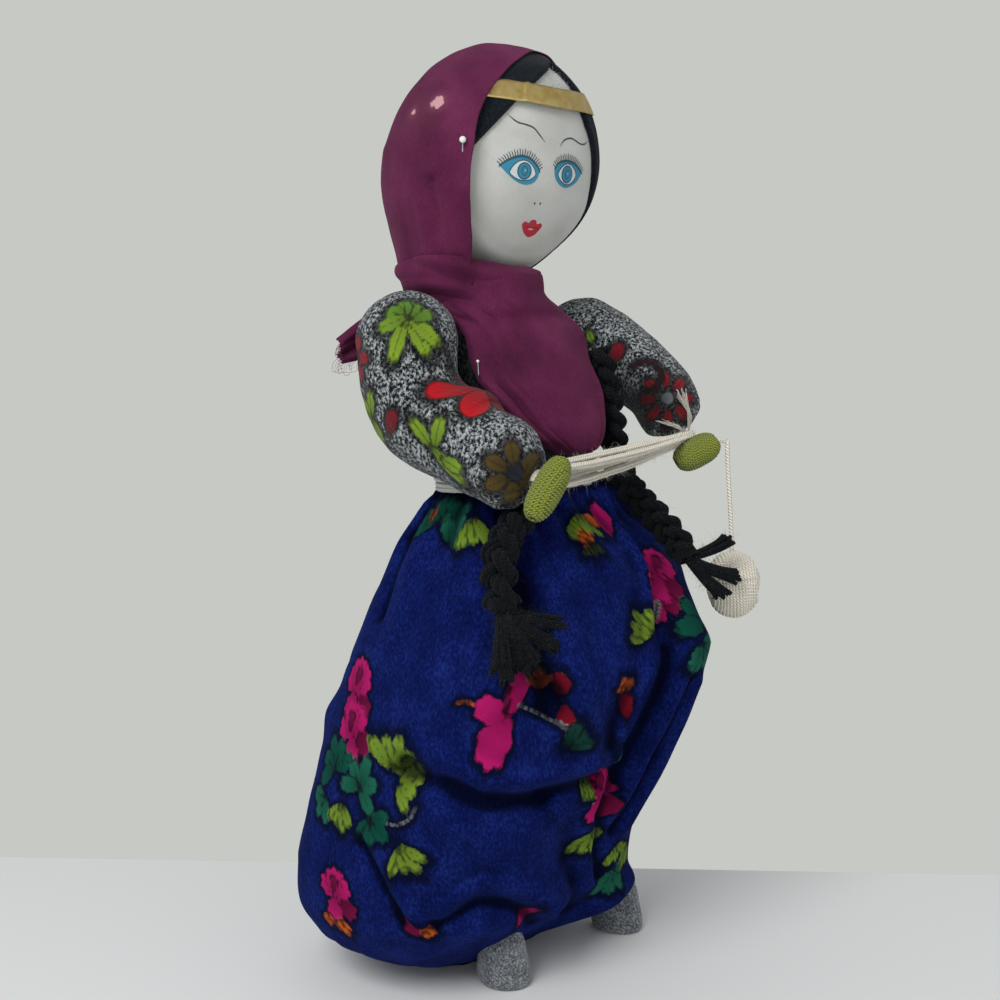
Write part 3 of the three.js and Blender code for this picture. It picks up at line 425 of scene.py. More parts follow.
# Floor: a plain light table top that ends behind the doll, square to the camera.
floor_ahead, floor_side = np.array([0.829, 0.5595, 0]), np.array([0.5595, -0.829, 0])
floor_end, floor_half = 104.6, 4000
floor_places = [(floor_end, floor_half), (floor_end, -floor_half),
                (-floor_half, -floor_half), (-floor_half, floor_half)]
floor_corners = [floor_ahead * ahead + floor_side * side for ahead, side in floor_places]
floor = make_mesh("floor", floor_corners, [[0, 1, 2, 3]])
paint(floor, new_material("floor", Roughness=0.8, Base_Color=(0.82, 0.83, 0.82, 1))[0])

# Strand: the loose end of the ball, cream wool yarn about 2 mm thick, from the left hand straight
# down to the ball that hangs on it.
strand_low, strand_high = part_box("strand")
strand_top = unplace([(strand_low.x + strand_high.x) / 2, (strand_low.y + strand_high.y) / 2, strand_high.z])
strand_length = (strand_high.z - strand_low.z) * 1000
drop = np.linspace(0, 1, 40)
strand_path = strand_top + np.stack([
    0.5 * np.sin(3 * drop) * drop * (1 - drop), 0.4 * np.sin(5 * drop) * (1 - drop),
    -strand_length * drop], 1)
cream_yarn = yarn_material("cream_yarn", "c6bda8", "f8f2e4", 0.25)
strand = paint(tubes("strand_yarn", [strand_path], 0.95, "strand", 10), cream_yarn)
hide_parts("strand")

# Ball: cream wool wound over a core, the turns lying side by side in sheets that cross each other.
# It hangs on the strand and shows as a pale ball beside the far trouser leg.
ball_low, ball_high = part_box("ball_core")
ball_middle = unplace((ball_low + ball_high) / 2)
ball_radius = 13.8
wind = np.linspace(0, 2 * np.pi, 49)
ball_paths = []
ball_axes = [(0.2, 0.3, 0.93), (0.9, 0.2, 0.3), (-0.5, 0.8, 0.35),
             (0.55, -0.75, 0.2), (0.75, -0.6, -0.35), (0.68, -0.7, 0.05)]
for layer, axis in enumerate(ball_axes):
    pole = unit(np.array(axis))
    first = unit(np.cross(pole, [0.1, 0.2, 1]))
    second = np.cross(pole, first)
    shell = ball_radius - 3.2 + 0.5 * layer
    for row in np.linspace(-0.78, 0.78, 15):
        wander = 0.25 * np.sin(2 * wind + row * 7 + layer)
        ring = first * np.cos(wind)[:, None] + second * np.sin(wind)[:, None]
        flat = math.sqrt(1 - row * row)
        ball_paths.append(ball_middle + shell * (ring * flat + pole * row) + pole * wander[:, None])
ball_paths = [ball_middle + [0, 0, -1.5] + (path - ball_middle) * [0.93, 0.93, 1.14] for path in ball_paths]
ball = paint(tubes("ball_winding", ball_paths, 0.85, "ball", 6), cream_yarn)
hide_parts("ball_core", "ball_yarn")

# Arms: stuffed sleeves of black and grey fleece printed with leaves and flowers, both bent over the
# same hidden wire, each ending in a hand that is a pad wound with lime green wool.
shoulder_out, shoulder_back, shoulder_up = 57.5, 7.5, 286
arms = {
    "right": {
        "side": -1, "lean": [0.62, -0.35, 0.72],
        "bend": [[0, 0, 0], [0.2, 0.4, -18], [1, -8.6, -37], [3.5, -26, -51], [6.5, -47, -57.5]],
    },
    "left": {
        "side": 1, "lean": [0.66, -0.55, 0.4],
        "bend": [[0, 0, 0], [0.2, -17, -9], [0.4, -31.5, -19], [0.5, -42.5, -28.5], [0.6, -49.5, -38]],
    },
}
for name, arm in arms.items():
    shoulder = np.array([arm["side"] * shoulder_out, shoulder_back, shoulder_up])
    arm["path"] = resample(shoulder + np.array(arm["bend"], float), 90)
    low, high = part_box(f"hand_core_{name}")
    arm["palm"] = unplace((low + high) / 2)
    arm["along"] = unit(arm["palm"] - arm["path"][-1])
    lean = np.array(arm["lean"])
    arm["lean"] = unit(lean - arm["along"] * (lean @ arm["along"]))
shoulder_radius, elbow_radius, wrist_radius, tip_radius = 21.3, 19.6, 15.6, 5.4


def swelling(points, spot, size):
    """A round swelling of height 1 about a spot in the doll's millimetres."""
    return np.exp(-((points - np.array(spot)) ** 2).sum(-1) / size**2)


def sleeve(arm):
    """The sleeve's surface: its radius eases from the shoulder to the cuff and closes round the wrist."""
    path = arm["path"]
    lift = np.radians(np.linspace(88, 4, 26))
    cap = path[0] + unit(path[0] - path[1]) * shoulder_radius * np.sin(lift)[:, None]
    cuff = 13.5 if arm["side"] < 0 else 9.0
    close = np.linspace(0.3, cuff, 14)
    whole = np.vstack([cap, path, path[-1] + unit(path[-1] - path[-2]) * close[:, None]])
    radii = [shoulder_radius, elbow_radius, wrist_radius]
    body = np.interp(np.linspace(0, 1, len(path)), [0, 0.5, 1], radii)
    shut = wrist_radius - (wrist_radius - tip_radius) * (close / cuff) ** 2.2
    radius = np.r_[shoulder_radius * np.cos(lift), body, shut]
    side, up = frames_along(whole)
    angle = np.linspace(0, 2 * np.pi, 150, endpoint=False)
    ring = side[:, None] * np.cos(angle)[:, None] + up[:, None] * np.sin(angle)[:, None]
    points = whole[:, None] + ring * radius[:, None, None]
    to_end = np.r_[0, np.cumsum(np.linalg.norm(np.diff(whole, axis=0), axis=1))][:, None]
    to_end = to_end[-1] - to_end
    pucker = smoothstep(16, 3, to_end)
    folds = 0.7 * wobble(points, 34, 3) + 0.35 * wobble(points, 12, 4)
    folds -= pucker * (0.5 + 0.5 * np.cos(13 * angle))
    folds -= 3.2 * np.clip(-ring[:, :, 2], 0, 1) * smoothstep(72, 45, to_end) * smoothstep(8, 24, to_end)
    if arm["side"] > 0:
        folds -= 4.0 * np.clip(ring[:, :, 2], 0, 1) * smoothstep(105, 80, to_end)
    else:
        folds += 5.0 * swelling(points, [-46, -24, 258], 15) - 4.0 * swelling(points, [-66, -14, 223], 15)
        folds += 7.5 * np.clip(ring @ np.array([0.53, -0.43, 0.73]), 0, 1) * smoothstep(80, 35, to_end)
    return points + ring * folds[:, :, None]


# Prints: each motif is a list of shapes on the cloth. A shape is a petal, leaf, disc or stem in its own
# colour, and a point's nearness to the shapes is kept in the mesh for the shader to cut to crisp edges.


def petal(at, angle, length, width, colour, ruffle=0.0, waves=7, line=0.0):
    """A drop shape whose base is at its place, in millimetres on the cloth, pointing along angle degrees."""
    return {"at": at, "angle": angle, "length": length, "width": width, "colour": colour,
            "ruffle": ruffle, "waves": waves, "line": line}


def leaf(at, angle, length, width, colour, ruffle=0.07):
    """A petal shape with a toothed edge and a dark line along its middle."""
    return petal(at, angle, length, width, colour, ruffle, 9, 1.0)


def reached(distance, degrees):
    """The place on the cloth at a distance from the motif's middle, over degrees from its right."""
    return [distance * math.cos(math.radians(degrees)), distance * math.sin(math.radians(degrees))]


def shape_distance(shape, x, y):
    """How far points lie outside a shape, less than zero inside, with their share along it and across it."""
    turn = math.radians(shape["angle"])
    dx, dy = x - shape["at"][0], y - shape["at"][1]
    along = (dx * math.cos(turn) + dy * math.sin(turn)) / shape["length"]
    across = (-dx * math.sin(turn) + dy * math.cos(turn)) / (shape["width"] / 2)
    fat = 0.75 + 0.5 * np.clip(along, 0, 1)
    reach = np.sqrt((2 * along - 1) ** 2 + (across / fat) ** 2)
    edge = 1 + shape["ruffle"] * np.cos(shape["waves"] * np.arctan2(across, 2 * along - 1))
    return (reach - edge) * min(shape["length"], shape["width"]) / 2, along, across


def print_motifs(points, normals, motifs):
    """The print's values at each point: distance outside it, colour, nearness to its lines and shade."""
    count = len(points)
    near, line = np.full(count, 20.0), np.full(count, 20.0)
    colour, shade = np.zeros((count, 3)), np.zeros(count)
    for motif in motifs:
        centre = motif["centre"]
        at = np.argmin(((points - centre) ** 2).sum(1))
        out = normals[at]
        right = unit(np.cross([0, 0, 1], out))
        up = np.cross(out, right)
        local = points - points[at]
        close = np.flatnonzero((np.abs(local @ out) < motif.get("deep", 16)) & (normals @ out > 0.1)
                               & ((local**2).sum(1) < motif.get("reach", 50) ** 2))
        x, y = local[close] @ right, local[close] @ up
        turn, size = math.radians(motif.get("turn", 0)), motif.get("size", 1.0)
        cosine, sine = math.cos(turn), math.sin(turn)
        x, y = (x * cosine + y * sine) / size, (-x * sine + y * cosine) / size
        for shape in motif["shapes"]:
            distance, along, across = shape_distance(shape, x, y)
            distance = distance * size
            first = distance < np.minimum(near[close], 20.0)
            over = (distance < 0.45) | (first & (near[close] > 0.45))
            here = close[over]
            colour[here] = linear(shape["colour"])[:3]
            shade[here] = np.clip(along[over], 0, 1)
            rib = np.abs(across[over]) * shape["width"] / 2 * size
            line[here] = np.minimum(np.abs(distance[over]) + 0.05, rib + 0.25 if shape["line"] else 20.0)
            near[close] = np.minimum(near[close], distance)
    return {"print_near": near, "print_colour": colour, "print_line": line, "print_shade": shade}


def leaf_spray(colour, count=5, length=11.0, width=5.0, spread=150, start=0.0):
    """Pointed leaves fanned from one place."""
    turns = np.linspace(-spread / 2, spread / 2, count) + start
    return [leaf([0, 0], 90 + turn, length * (1 - 0.12 * (k % 2)), width, colour)
            for k, turn in enumerate(turns)]


def flower(colour, eye, petals=6, length=8.5, width=5.0, hollow=1.5):
    """Round petals about a dark eye."""
    shapes = []
    for k in range(petals):
        turn = 360 * k / petals
        shapes.append(petal(reached(hollow, turn), turn, length, width, colour, 0.03, 5, 1.0))
    return shapes + [petal([-3.0, 0], 0, 6.0, 5.6, eye)]


def moved(shapes, dx, dy):
    """The same shapes a little further on."""
    return [{**shape, "at": [shape["at"][0] + dx, shape["at"][1] + dy]} for shape in shapes]


def rose(colour, deep, size):
    """A full rose: three rings of ruffled petals, deeper towards the heart."""
    shapes = []
    rings = [(7, 3.0, 10.0, 10.0, colour), (5, 1.2, 7.5, 8.0, deep), (4, 0.4, 5.5, 6.0, colour)]
    for ring, (petals, out, length, width, tone) in enumerate(rings):
        for k in range(petals):
            turn = 360 * k / petals + 24 * ring
            shapes.append(petal(reached(out * size, turn), turn, length * size, width * size, tone, 0.09, 8))
    return shapes


def curl(colour, bend, length=22.0, width=1.5, pieces=8):
    """A thin stem that bends, made of short pieces."""
    shapes, x, y, turn = [], 0.0, 0.0, 0.0
    for _ in range(pieces):
        shapes.append(petal([x, y], turn, length / pieces * 1.5, width, colour))
        step = reached(length / pieces, turn)
        x += step[0]
        y += step[1]
        turn += bend / pieces
    return shapes


def normals_of(points, outwards):
    """Unit ways out of a grid of points that wraps round, on the side that outwards points to."""
    out = np.cross(np.gradient(points, axis=0), np.roll(points, -1, 1) - np.roll(points, 1, 1))
    out /= np.maximum(np.linalg.norm(out, axis=2), 1e-9)[:, :, None]
    return -out if np.mean(np.sum(out * outwards, axis=2)) < 0 else out


def printed_cloth(tree, ground, near_noise, halo, halo_colour, line_colour):
    """The ground colour with the mesh's print over it: crisp coloured shapes, their dark lines and rims."""
    near = maths(tree, "ADD", field(tree, "print_near"), maths(tree, "MULTIPLY", near_noise, 1.1))
    near = maths(tree, "SUBTRACT", near, 0.55)
    inside = between(tree, near, 0.22, -0.22)
    rim = between(tree, near, halo, 0.4 * halo)
    shade = between(tree, field(tree, "print_shade"), 0.0, 1.0, 0.55, 1.15)
    colour = mix_colour(tree, 1.0, field(tree, "print_colour", "Vector"), shade, "MULTIPLY")
    streaks = between(tree, field(tree, "print_line"), 0.75, 0.25, 0.0, 0.75)
    colour = mix_colour(tree, streaks, colour, linear(line_colour))
    base = mix_colour(tree, maths(tree, "MULTIPLY", rim, 0.85), ground, linear(halo_colour))
    return mix_colour(tree, inside, base, colour)


def fleece_material():
    """Heather fleece: black and pale grey fibres in short streaks, with the print dyed over them and painted
    shade over both.
    """
    made, tree, principled = new_material(
        "fleece_print", Roughness=0.95, Sheen_Weight=0.1, Sheen_Roughness=0.5, Specular_IOR_Level=0.1)
    streak = object_noise(tree, 780.0, 3.0, (1, 1, 0.85))
    fine = object_noise(tree, 2100.0, 3.0)
    mottle = added(tree, streak, 0.75, fine, 0.35)
    ground = ramp(tree, mottle, [(0.43, "060709"), (0.51, "1f2124"), (0.57, "707678"), (0.67, "b0b5b7")])
    colour = printed_cloth(tree, ground, fine, 2.3, "08080a", "15110f")
    # Painted shade: the mesh's dark values turn the colour near black, where the sleeves meet the bib and on
    # the front of the bodice.
    colour = mix_colour(tree, field(tree, "dark"), colour, linear("07080a"))
    finish_shader(tree, principled, colour, maths(tree, "ADD", streak, fine), 0.0006)
    return made


fleece_print = fleece_material()
fresh_green, shade_green, dull_green, blood_red = "7f9c2c", "587f26", "74922a", "6c1020"
shoulder_leaves = [
    (-114, 18.7, fresh_green), (-62, 17, fresh_green), (-38, 16.5, fresh_green), (12, 11, shade_green),
    (60, 9, shade_green), (100, 9, shade_green), (150, 10, shade_green), (196, 13, "6c8e2a")]
sleeve_prints = {
    "right": [
        {"centre": [-70.5, -7.5, 296], "shapes": [
            leaf([0, 0], angle, length, 6.5, colour) for angle, length, colour in shoulder_leaves]},
        {"centre": [-55.9, -15.5, 262.5], "shapes": moved([
            petal([0, 0], 167, 26, 9.5, "b3121f"), petal([0, 0], 223, 19, 12, "b3121f"),
            petal([0, 0], -58, 15, 8.5, "7a1020"), petal([0, 2], 128, 16, 4, blood_red)], 13.0, -6.2)},
        {"centre": [-71, -21, 240], "shapes": [
            leaf([-2, 1], 128, 16, 5.5, dull_green), leaf([-1, 1], 78, 13, 6.5, dull_green),
            leaf([-3, 2], -46, 23, 5.5, dull_green, 0.06), leaf([2, -3], -28, 12, 6, dull_green)]},
        {"centre": [-59.1, -48.9, 231.2], "shapes": moved([
            petal(reached(2.5, angle), angle, 10.5, 6.5, "4c3e1c", 0.03, 5, 1.0)
            for angle in (25, 92, 149, 206, 262, 320)]
            + [petal([-3.6, 0], 0, 7.2, 7, "20242c")], 3.8, -1.5)},
        {"centre": [-76.3, -2.7, 248.9], "shapes": [petal([-5, -2], 60, 12, 7, blood_red)]},
        {"centre": [-74, 20, 280], "size": 1.1, "shapes": flower("8c1522", "17110f", 6)},
        {"centre": [-72, 12, 255], "turn": 90, "size": 1.1, "shapes": leaf_spray(dull_green, 5, 11, 5, 200)},
    ],
    "left": [
        {"centre": [38.5, -9.8, 285.6], "shapes": [leaf([-1, 3], -65, 7, 4, dull_green)]},
        {"centre": [40, -25, 277], "shapes": [petal([-1, -5], 78, 11, 6.8, blood_red)]},
        {"centre": [46.3, -49.3, 254.7], "size": 1.05,
         "shapes": flower("8f1424", "70767b", 8, 8.0, 4.4, 4.2)},
        {"centre": [43.1, -39.3, 267.9], "shapes": moved(curl("3a0e1a", 230, 30, 2.6, 10), -2, -9)},
        {"centre": [77, 6, 275], "size": 1.2, "shapes": leaf_spray(dull_green, 6, 11, 5, 280)},
        {"centre": [75, -22, 258], "size": 1.1, "shapes": flower("6a5a20", "1b1712", 6, 9, 6)},
    ],
}
# Painted shade: a dark spot on each sleeve where it meets the bib, kept as the mesh's dark values.
sleeve_shade_spots = {"right": ([-47, -15, 255], 12), "left": ([39, -36, 252], 17)}
for name, arm in arms.items():
    points = sleeve(arm)
    flat = points.reshape(-1, 3)
    out = normals_of(points, points - flat.mean(0)).reshape(-1, 3)
    marks = {**print_motifs(flat, out, sleeve_prints[name]), "dark": 0.92 * swelling(flat, *sleeve_shade_spots[name])}
    piece = paint(closed_grid(f"sleeve_cloth_{name}", points, "arms", marks), fleece_print)
    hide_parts(f"sleeve_{name}")

# Hands: each pad is wound with fine lime green wool, turn upon turn across its length, the top layer
# slanting back over the one below.
green_yarn = yarn_material("green_yarn", "3c450a", "959f38", 0.15, 2.0, 2.4)
for name, arm in arms.items():
    cross = np.cross(arm["lean"], arm["along"])
    palm_length, palm_thickness = (30.0, 13.4) if name == "right" else (22.5, 14.6)
    paths = []
    for layer, (turns, shrink, slant) in enumerate([(26, 1.0, 0.0), (19, 0.15, 2.6), (17, 0.0, -3.2)]):
        turn = np.linspace(0, turns, turns * 20 + 1)
        level = (turn / turns * 2 - 1) * (1 - 0.035 * layer)
        angle = 2 * np.pi * turn + layer
        up = level * (palm_length / 2 - 0.7) + slant * np.cos(angle) * (1 - np.abs(level) ** 4) * 0.8
        fullness = np.clip(1 - np.abs(up / (palm_length / 2)) ** 3, 0.02, 1)
        half = palm_thickness / 2 * np.sqrt(fullness) - 0.6 - shrink
        paths.append(arm["palm"] + up[:, None] * arm["lean"] + (half * np.sin(angle))[:, None] * cross
                     + (half * np.cos(angle))[:, None] * arm["along"])
    piece = paint(tubes(f"hand_winding_{name}", paths, 0.62, "arms", 6), green_yarn)
    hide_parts(f"hand_core_{name}", f"hand_yarn_{name}")

# Skein: cream wool wound round both hands, a fan of strands beside the right hand that draws
# together at the left one, with loose ends over the left sleeve and a halo of fine fibres.
skein_points = node_points("skein")
right_points = skein_points[skein_points[:, 0] < skein_points[:, 0].min() + 10]
left_points = skein_points[skein_points[:, 0] > skein_points[:, 0].max() - 10]
ends = [(part.min(0) + part.max(0)) / 2 for part in (right_points, left_points)]
run = unit(ends[1] - ends[0])
for end, name, share in ((0, "right", 0.15), (1, "left", 0.34)):
    ends[end] = ends[end] + (arms[name]["palm"] - ends[end]) * share
left_palm = arms["left"]["palm"]
hitch = resample([left_palm, left_palm * 0.4 + (strand_top + [0, 0, 1.5]) * 0.6, strand_top], 20)
paint(tubes("strand_hitch", [hitch], 0.95, "arms", 10), cream_yarn)
chance = np.random.default_rng(7)
skein_paths = []
skein_there = [(t, 0.0) for t in np.linspace(0, 1, 16)] + [(1, -a) for a in np.linspace(20, 160, 8)]
skein_back = [(t, -180.0) for t in np.linspace(1, 0, 16)] + [(0, -180 - a) for a in np.linspace(20, 180, 9)]
for k in range(9):
    loop = []
    for s, turn in skein_there + skein_back:
        stack = unit((1 - s) * arms["right"]["along"] + s * arms["left"]["along"])
        side = unit(np.cross(run, stack))
        ahead = -np.cross(stack, side)
        round_palm = side * math.cos(math.radians(turn)) + ahead * math.sin(math.radians(turn))
        on_line = ends[0] + run * 7 + (ends[1] - ends[0] - run * 9) * s
        fanned = stack * (k - 4) * (0.9 * (1 - s) + 0.3 * s)
        loop.append(on_line + fanned + (4.2 - 1.2 * s) * round_palm)
    loop = np.array(loop)
    from_ends = np.minimum(np.linalg.norm(loop - ends[0], axis=1), np.linalg.norm(loop - ends[1], axis=1))
    sag = np.array([0, 0, -1]) * (chance.uniform(0, 2.0) if k else 6.0) + chance.normal(size=3) * 0.6
    loop = loop + np.clip(from_ends / 40, 0, 1)[:, None] * sag
    skein_paths.append(resample(loop, 150))
skein = paint(tubes("skein_yarn", skein_paths, 0.68, "arms", 6), cream_yarn)
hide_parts("skein")
cream_fibre = fibre_material("cream_fibre", "d8d4c8")
paint(yarn_fuzz("skein_halo", skein_paths, 0.6, 5200, 3.4, "arms", 31), cream_fibre)
wisps = []
for end in ([50.3, -53, 257.5], [45.8, -45, 245.5]):
    start = ends[1] - run * 2
    bend = (start + end) / 2 + [0.5, -2.5, 0]
    for _ in range(16):
        stray = chance.normal(size=(2, 3)) * 0.9
        wisps.append(resample([start, np.array(bend) + stray[0] * 0.6, np.array(end) + stray[1] * 1.6], 16))
paint(tubes("skein_wisps", wisps, 0.16, "arms", 4), cream_fibre)

# Head: a stuffed ball of smooth white jersey, flattened a little in front, with a painted face.
head_middle = np.array([0, 8, 362.5])
head_wide, head_tall = 46.0, 50.5
head_nod, head_tilt, head_yaw = [math.radians(degrees) for degrees in (12, 5, -7)]
head_turn = np.array(Matrix.Rotation(head_yaw, 3, "Z") @ Matrix.Rotation(head_tilt, 3, "Y")
                     @ Matrix.Rotation(head_nod, 3, "X"))


def from_head(points):
    """Points in the head's own millimetres, its face towards -Y, as points in the doll's."""
    return np.asarray(points, float) @ head_turn.T + head_middle


def head_surface(way, grow=0.0):
    """The head's surface along unit ways from its middle, moved out by grow. The chin is narrower."""
    way = np.asarray(way, float)
    narrow = 1 - 0.15 * smoothstep(0.15, 1.0, -way[..., 2])
    wide = head_wide * narrow + grow
    points = np.stack([way[..., 0] * wide, way[..., 1] * wide, way[..., 2] * (head_tall + grow)], -1)
    front = np.maximum(-22 - grow * 0.5 - points[..., 1], 0)
    points[..., 1] += 0.3 * front * smoothstep(0, 8, front)
    return points + way * (0.25 * wobble(way * 48, 30, 11))[..., None]


def way_to(x, z):
    """The way from the head's middle to the place on the face that is x across and z up, in millimetres."""
    up = np.clip(np.asarray(z, float) / head_tall, -0.98, 0.98)
    narrow = 1 - 0.15 * smoothstep(0.15, 1.0, -up)
    across = np.asarray(x, float) / (head_wide * narrow)
    return np.stack([across, -np.sqrt(np.clip(1 - across**2 - up**2, 0.0004, 1)), up], -1)


def globe(rows, columns):
    """Unit ways all round, by rows from the bottom to the top."""
    rise = np.radians(np.linspace(-89.5, 89.5, rows))[:, None]
    turn = np.linspace(0, 2 * np.pi, columns, endpoint=False)[None]
    return np.stack([np.cos(rise) * np.cos(turn), np.cos(rise) * np.sin(turn), np.sin(rise) + 0 * turn], -1)


def jersey_material():
    """White jersey: matt, with a faint knit and slow, soft unevenness from the stuffing."""
    made, tree, principled = new_material(
        "face_jersey", Roughness=0.85, Sheen_Weight=0.15, Sheen_Roughness=0.4,
        Subsurface_Weight=0.08, Subsurface_Scale=0.01)
    fine = object_noise(tree, 1900.0, 2.0)
    slow = object_noise(tree, 60.0, 3.0)
    tint = added(tree, fine, 0.35, slow, 0.65)
    finish_shader(tree, principled, ramp(tree, tint, [(0.3, "b3b3ad"), (0.6, "c3c4bf")]), fine, 0.00012)
    return made


jersey = jersey_material()
head_points = head_surface(globe(180, 256))
head = paint(closed_grid("head_ball", from_head(head_points), "head"), jersey)
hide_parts("head")

# Face: brows, eyes with lashes, nostrils and a small red mouth, brushed on the jersey in thin paint.


def face_paint(name, x, z, colour, lift=0.12, gloss=0.45):
    """A thin patch of paint on the face over a grid of places x across and z up."""
    points = from_head(head_surface(way_to(x, z), lift))
    made, tree, principled = new_material(name, Roughness=gloss)
    tone = object_noise(tree, 900.0, 2.0)
    dark = [c * 0.8 for c in linear(colour)[:3]] + [1]
    finish_shader(tree, principled, mix_colour(tree, tone, dark, linear(colour)))
    piece = make_mesh(name, points.reshape(-1, 3), grid_faces(*x.shape), "head")
    return paint(piece, made)


def disc(x0, z0, wide, tall, rings=5, around=28):
    """A grid of places over an oval."""
    turn = np.linspace(0, 2 * np.pi, around)[None]
    share = np.linspace(0.02, 1, rings)[:, None]
    return x0 + wide * share * np.cos(turn), z0 + tall * share * np.sin(turn)


def band_between(x, low, high, rows=5):
    """A grid of places between two curves over x."""
    share = np.linspace(0, 1, rows)[:, None]
    return np.broadcast_to(x, (rows, len(x))).copy(), low + (high - low) * share


def stroke(name, points, width, colour, lift=0.14):
    """A brush stroke along places on the face that thins out at both ends."""
    line = resample(np.asarray(points, float), 28)
    way = unit(np.gradient(line, axis=0))
    side = np.stack([-way[:, 1], way[:, 0]], 1)
    taper = width / 2 * np.clip(np.sin(np.linspace(0.12, np.pi - 0.1, 28)) * 1.6, 0.2, 1)[:, None]
    low, high = line - side * taper, line + side * taper
    share = np.linspace(0, 1, 3)[:, None]
    x = low[:, 0] + (high[:, 0] - low[:, 0]) * share
    z = low[:, 1] + (high[:, 1] - low[:, 1]) * share
    return face_paint(name, x, z, colour, lift)


def curve_between(top, bottom, count=41):
    """A grid of places between two curves that are given as points across and up."""
    top, bottom = np.array(top, float), np.array(bottom, float)
    x = np.linspace(top[0, 0], top[-1, 0], count)
    high, low = resample(top, 200), resample(bottom, 200)
    return band_between(x, np.interp(x, low[:, 0], low[:, 1]), np.interp(x, high[:, 0], high[:, 1]))


brows = {
    "near": [(-20.2, 21.5), (-16.0, 18.9), (-11.9, 18.4), (-8.3, 17.6), (-5.1, 15.1), (-2.1, 12.5)],
    "far": [(6.5, 12.0), (8.0, 14.2), (10.6, 15.9), (14.4, 16.4), (19.9, 15.0), (23.8, 15.3), (27.7, 17.0)],
}
for name, line in brows.items():
    stroke(f"brow_{name}", line, 0.62, "3b3836")
eyes = {
    "near": {
        "iris": (-11.1, -0.6), "size": (3.15, 3.4), "open": (3.6, -4.4),
        "corners": (-17.6, -1.9, -5.6, -1.2),
        "top": [(-22.6, 0.2), (-18.6, 3.5), (-13.6, 5.6), (-9.2, 5.2), (-5.6, 2.9), (-3.4, 0.4)],
        "bottom": [(-22.6, 0.2), (-17.0, -3.9), (-12.5, -5.9), (-8.5, -6.0), (-5.0, -4.0), (-3.4, 0.4)],
    },
    "far": {
        "iris": (12.4, 1.0), "size": (3.35, 3.6), "open": (5.3, -3.1),
        "corners": (6.9, 0.4, 18.4, 1.3),
        "top": [(4.3, 2.6), (6.6, 5.5), (11.4, 7.0), (16.7, 6.4), (20.5, 4.6), (23.2, 2.9)],
        "bottom": [(4.3, 2.6), (5.2, -0.9), (8.2, -3.7), (13.1, -4.7), (19.4, -1.8), (23.2, 2.9)],
    },
}
for name, eye in eyes.items():
    x0, z0 = eye["iris"]
    face_paint(f"eye_blue_{name}", *curve_between(eye["top"], eye["bottom"]), "2787a6", 0.12)
    rim_top = np.array(eye["top"])
    face_paint(f"eye_lid_{name}", *curve_between(rim_top + [0, 0.2], rim_top - [0, 0.9]), "1d4f63", 0.16)
    left_x, left_z, right_x, right_z = eye["corners"]
    t = np.linspace(0, 1, 31)
    line = left_z + (right_z - left_z) * t
    arch = np.clip(4 * t * (1 - t), 0, 1) ** 0.75
    for key, grow, colour, lift in (("rim", 0.42, "153a4a", 0.17), ("white", 0.0, "d3d8d8", 0.21)):
        x = left_x - grow + (right_x - left_x + 2 * grow) * t
        bottom_rim = line + (eye["open"][1] - line - grow) * arch
        top_rim = line + (eye["open"][0] - line + grow) * arch
        face_paint(f"eye_{key}_{name}", *band_between(x, bottom_rim, top_rim), colour, lift)
    wide, tall = eye["size"]
    face_paint(f"iris_rim_{name}", *disc(x0, z0, wide + 0.25, tall + 0.25), "0f2f3e", 0.25)
    face_paint(f"iris_{name}", *disc(x0, z0, wide - 0.2, tall - 0.2), "24819f", 0.29)
    face_paint(f"pupil_rim_{name}", *disc(x0, z0 + 0.1, 1.45, 2.1), "174f66", 0.33)
    face_paint(f"pupil_{name}", *disc(x0, z0 + 0.1, 1.1, 1.7), "2a7f9c", 0.37)
    face_paint(f"glint_{name}", *disc(x0 + 0.25, z0 + 0.3, 0.3, 0.5, 3, 12), "9cc3cf", 0.41)
    lid = resample(eye["top"], 200)
    for k, share in enumerate(np.linspace(0.04, 0.95, 21)):
        foot = lid[int(share * 199)]
        lean = 1.15 * (share - 0.5) * 2
        reach = (2.7 + 0.35 * (k % 2)) * (0.72 + 0.28 * math.sin(math.pi * share))
        tip = foot + reach * np.array([math.sin(lean), math.cos(lean)])
        half = (foot + tip) / 2 + [0.18 * math.cos(lean), 0]
        stroke(f"lash_{name}_{k}", [foot - [0.12 * math.sin(lean), 0.3], half, tip], 0.34, "10161b", 0.2)
for k, (x, z) in enumerate([(-2.8, -13.3), (0.1, -13.0)]):
    face_paint(f"nostril_{k}", *disc(x, z, 0.4, 0.55, 3, 12), "33302f", 0.12)
lip_top = [(-5.3, -22.7), (-4.5, -21.5), (-3.4, -21.5), (-2.4, -21.9), (-1.2, -20.4), (0.3, -20.2),
           (1.4, -20.6), (2.2, -21.9), (3.4, -21.5), (4.6, -21.3), (5.6, -22.5)]
lip_bottom = [(-5.3, -22.7), (-4.4, -24.3), (-2.6, -26.3), (0.6, -27.9), (3.2, -26.8), (4.8, -24.6),
              (5.6, -22.5)]
face_paint("mouth", *curve_between(lip_top, lip_bottom), "b8142b", 0.14, 0.35)
m = np.linspace(-1, 1, 31)
mouth_band = band_between(0.2 + 3.9 * m, -23.7 - 0.22 * (1 - m**2), -23.5 + 0.2 * (1 - m**2))
face_paint("mouth_line", *mouth_band, "7e1020", 0.18)
face_paint("mouth_glint", *disc(0.0, -24.3, 1.5, 0.5, 3, 16), "d8909b", 0.22)

# Hair: black felt in two pieces laid over the head, parted in the middle, so a wedge of white shows.


def upright_ways(rise, turn):
    """Unit ways from the head's middle, over turns from the face's middle and rises above its level."""
    return np.stack([np.cos(rise) * np.sin(turn), -np.cos(rise) * np.cos(turn), np.sin(rise) + 0 * turn], -1)


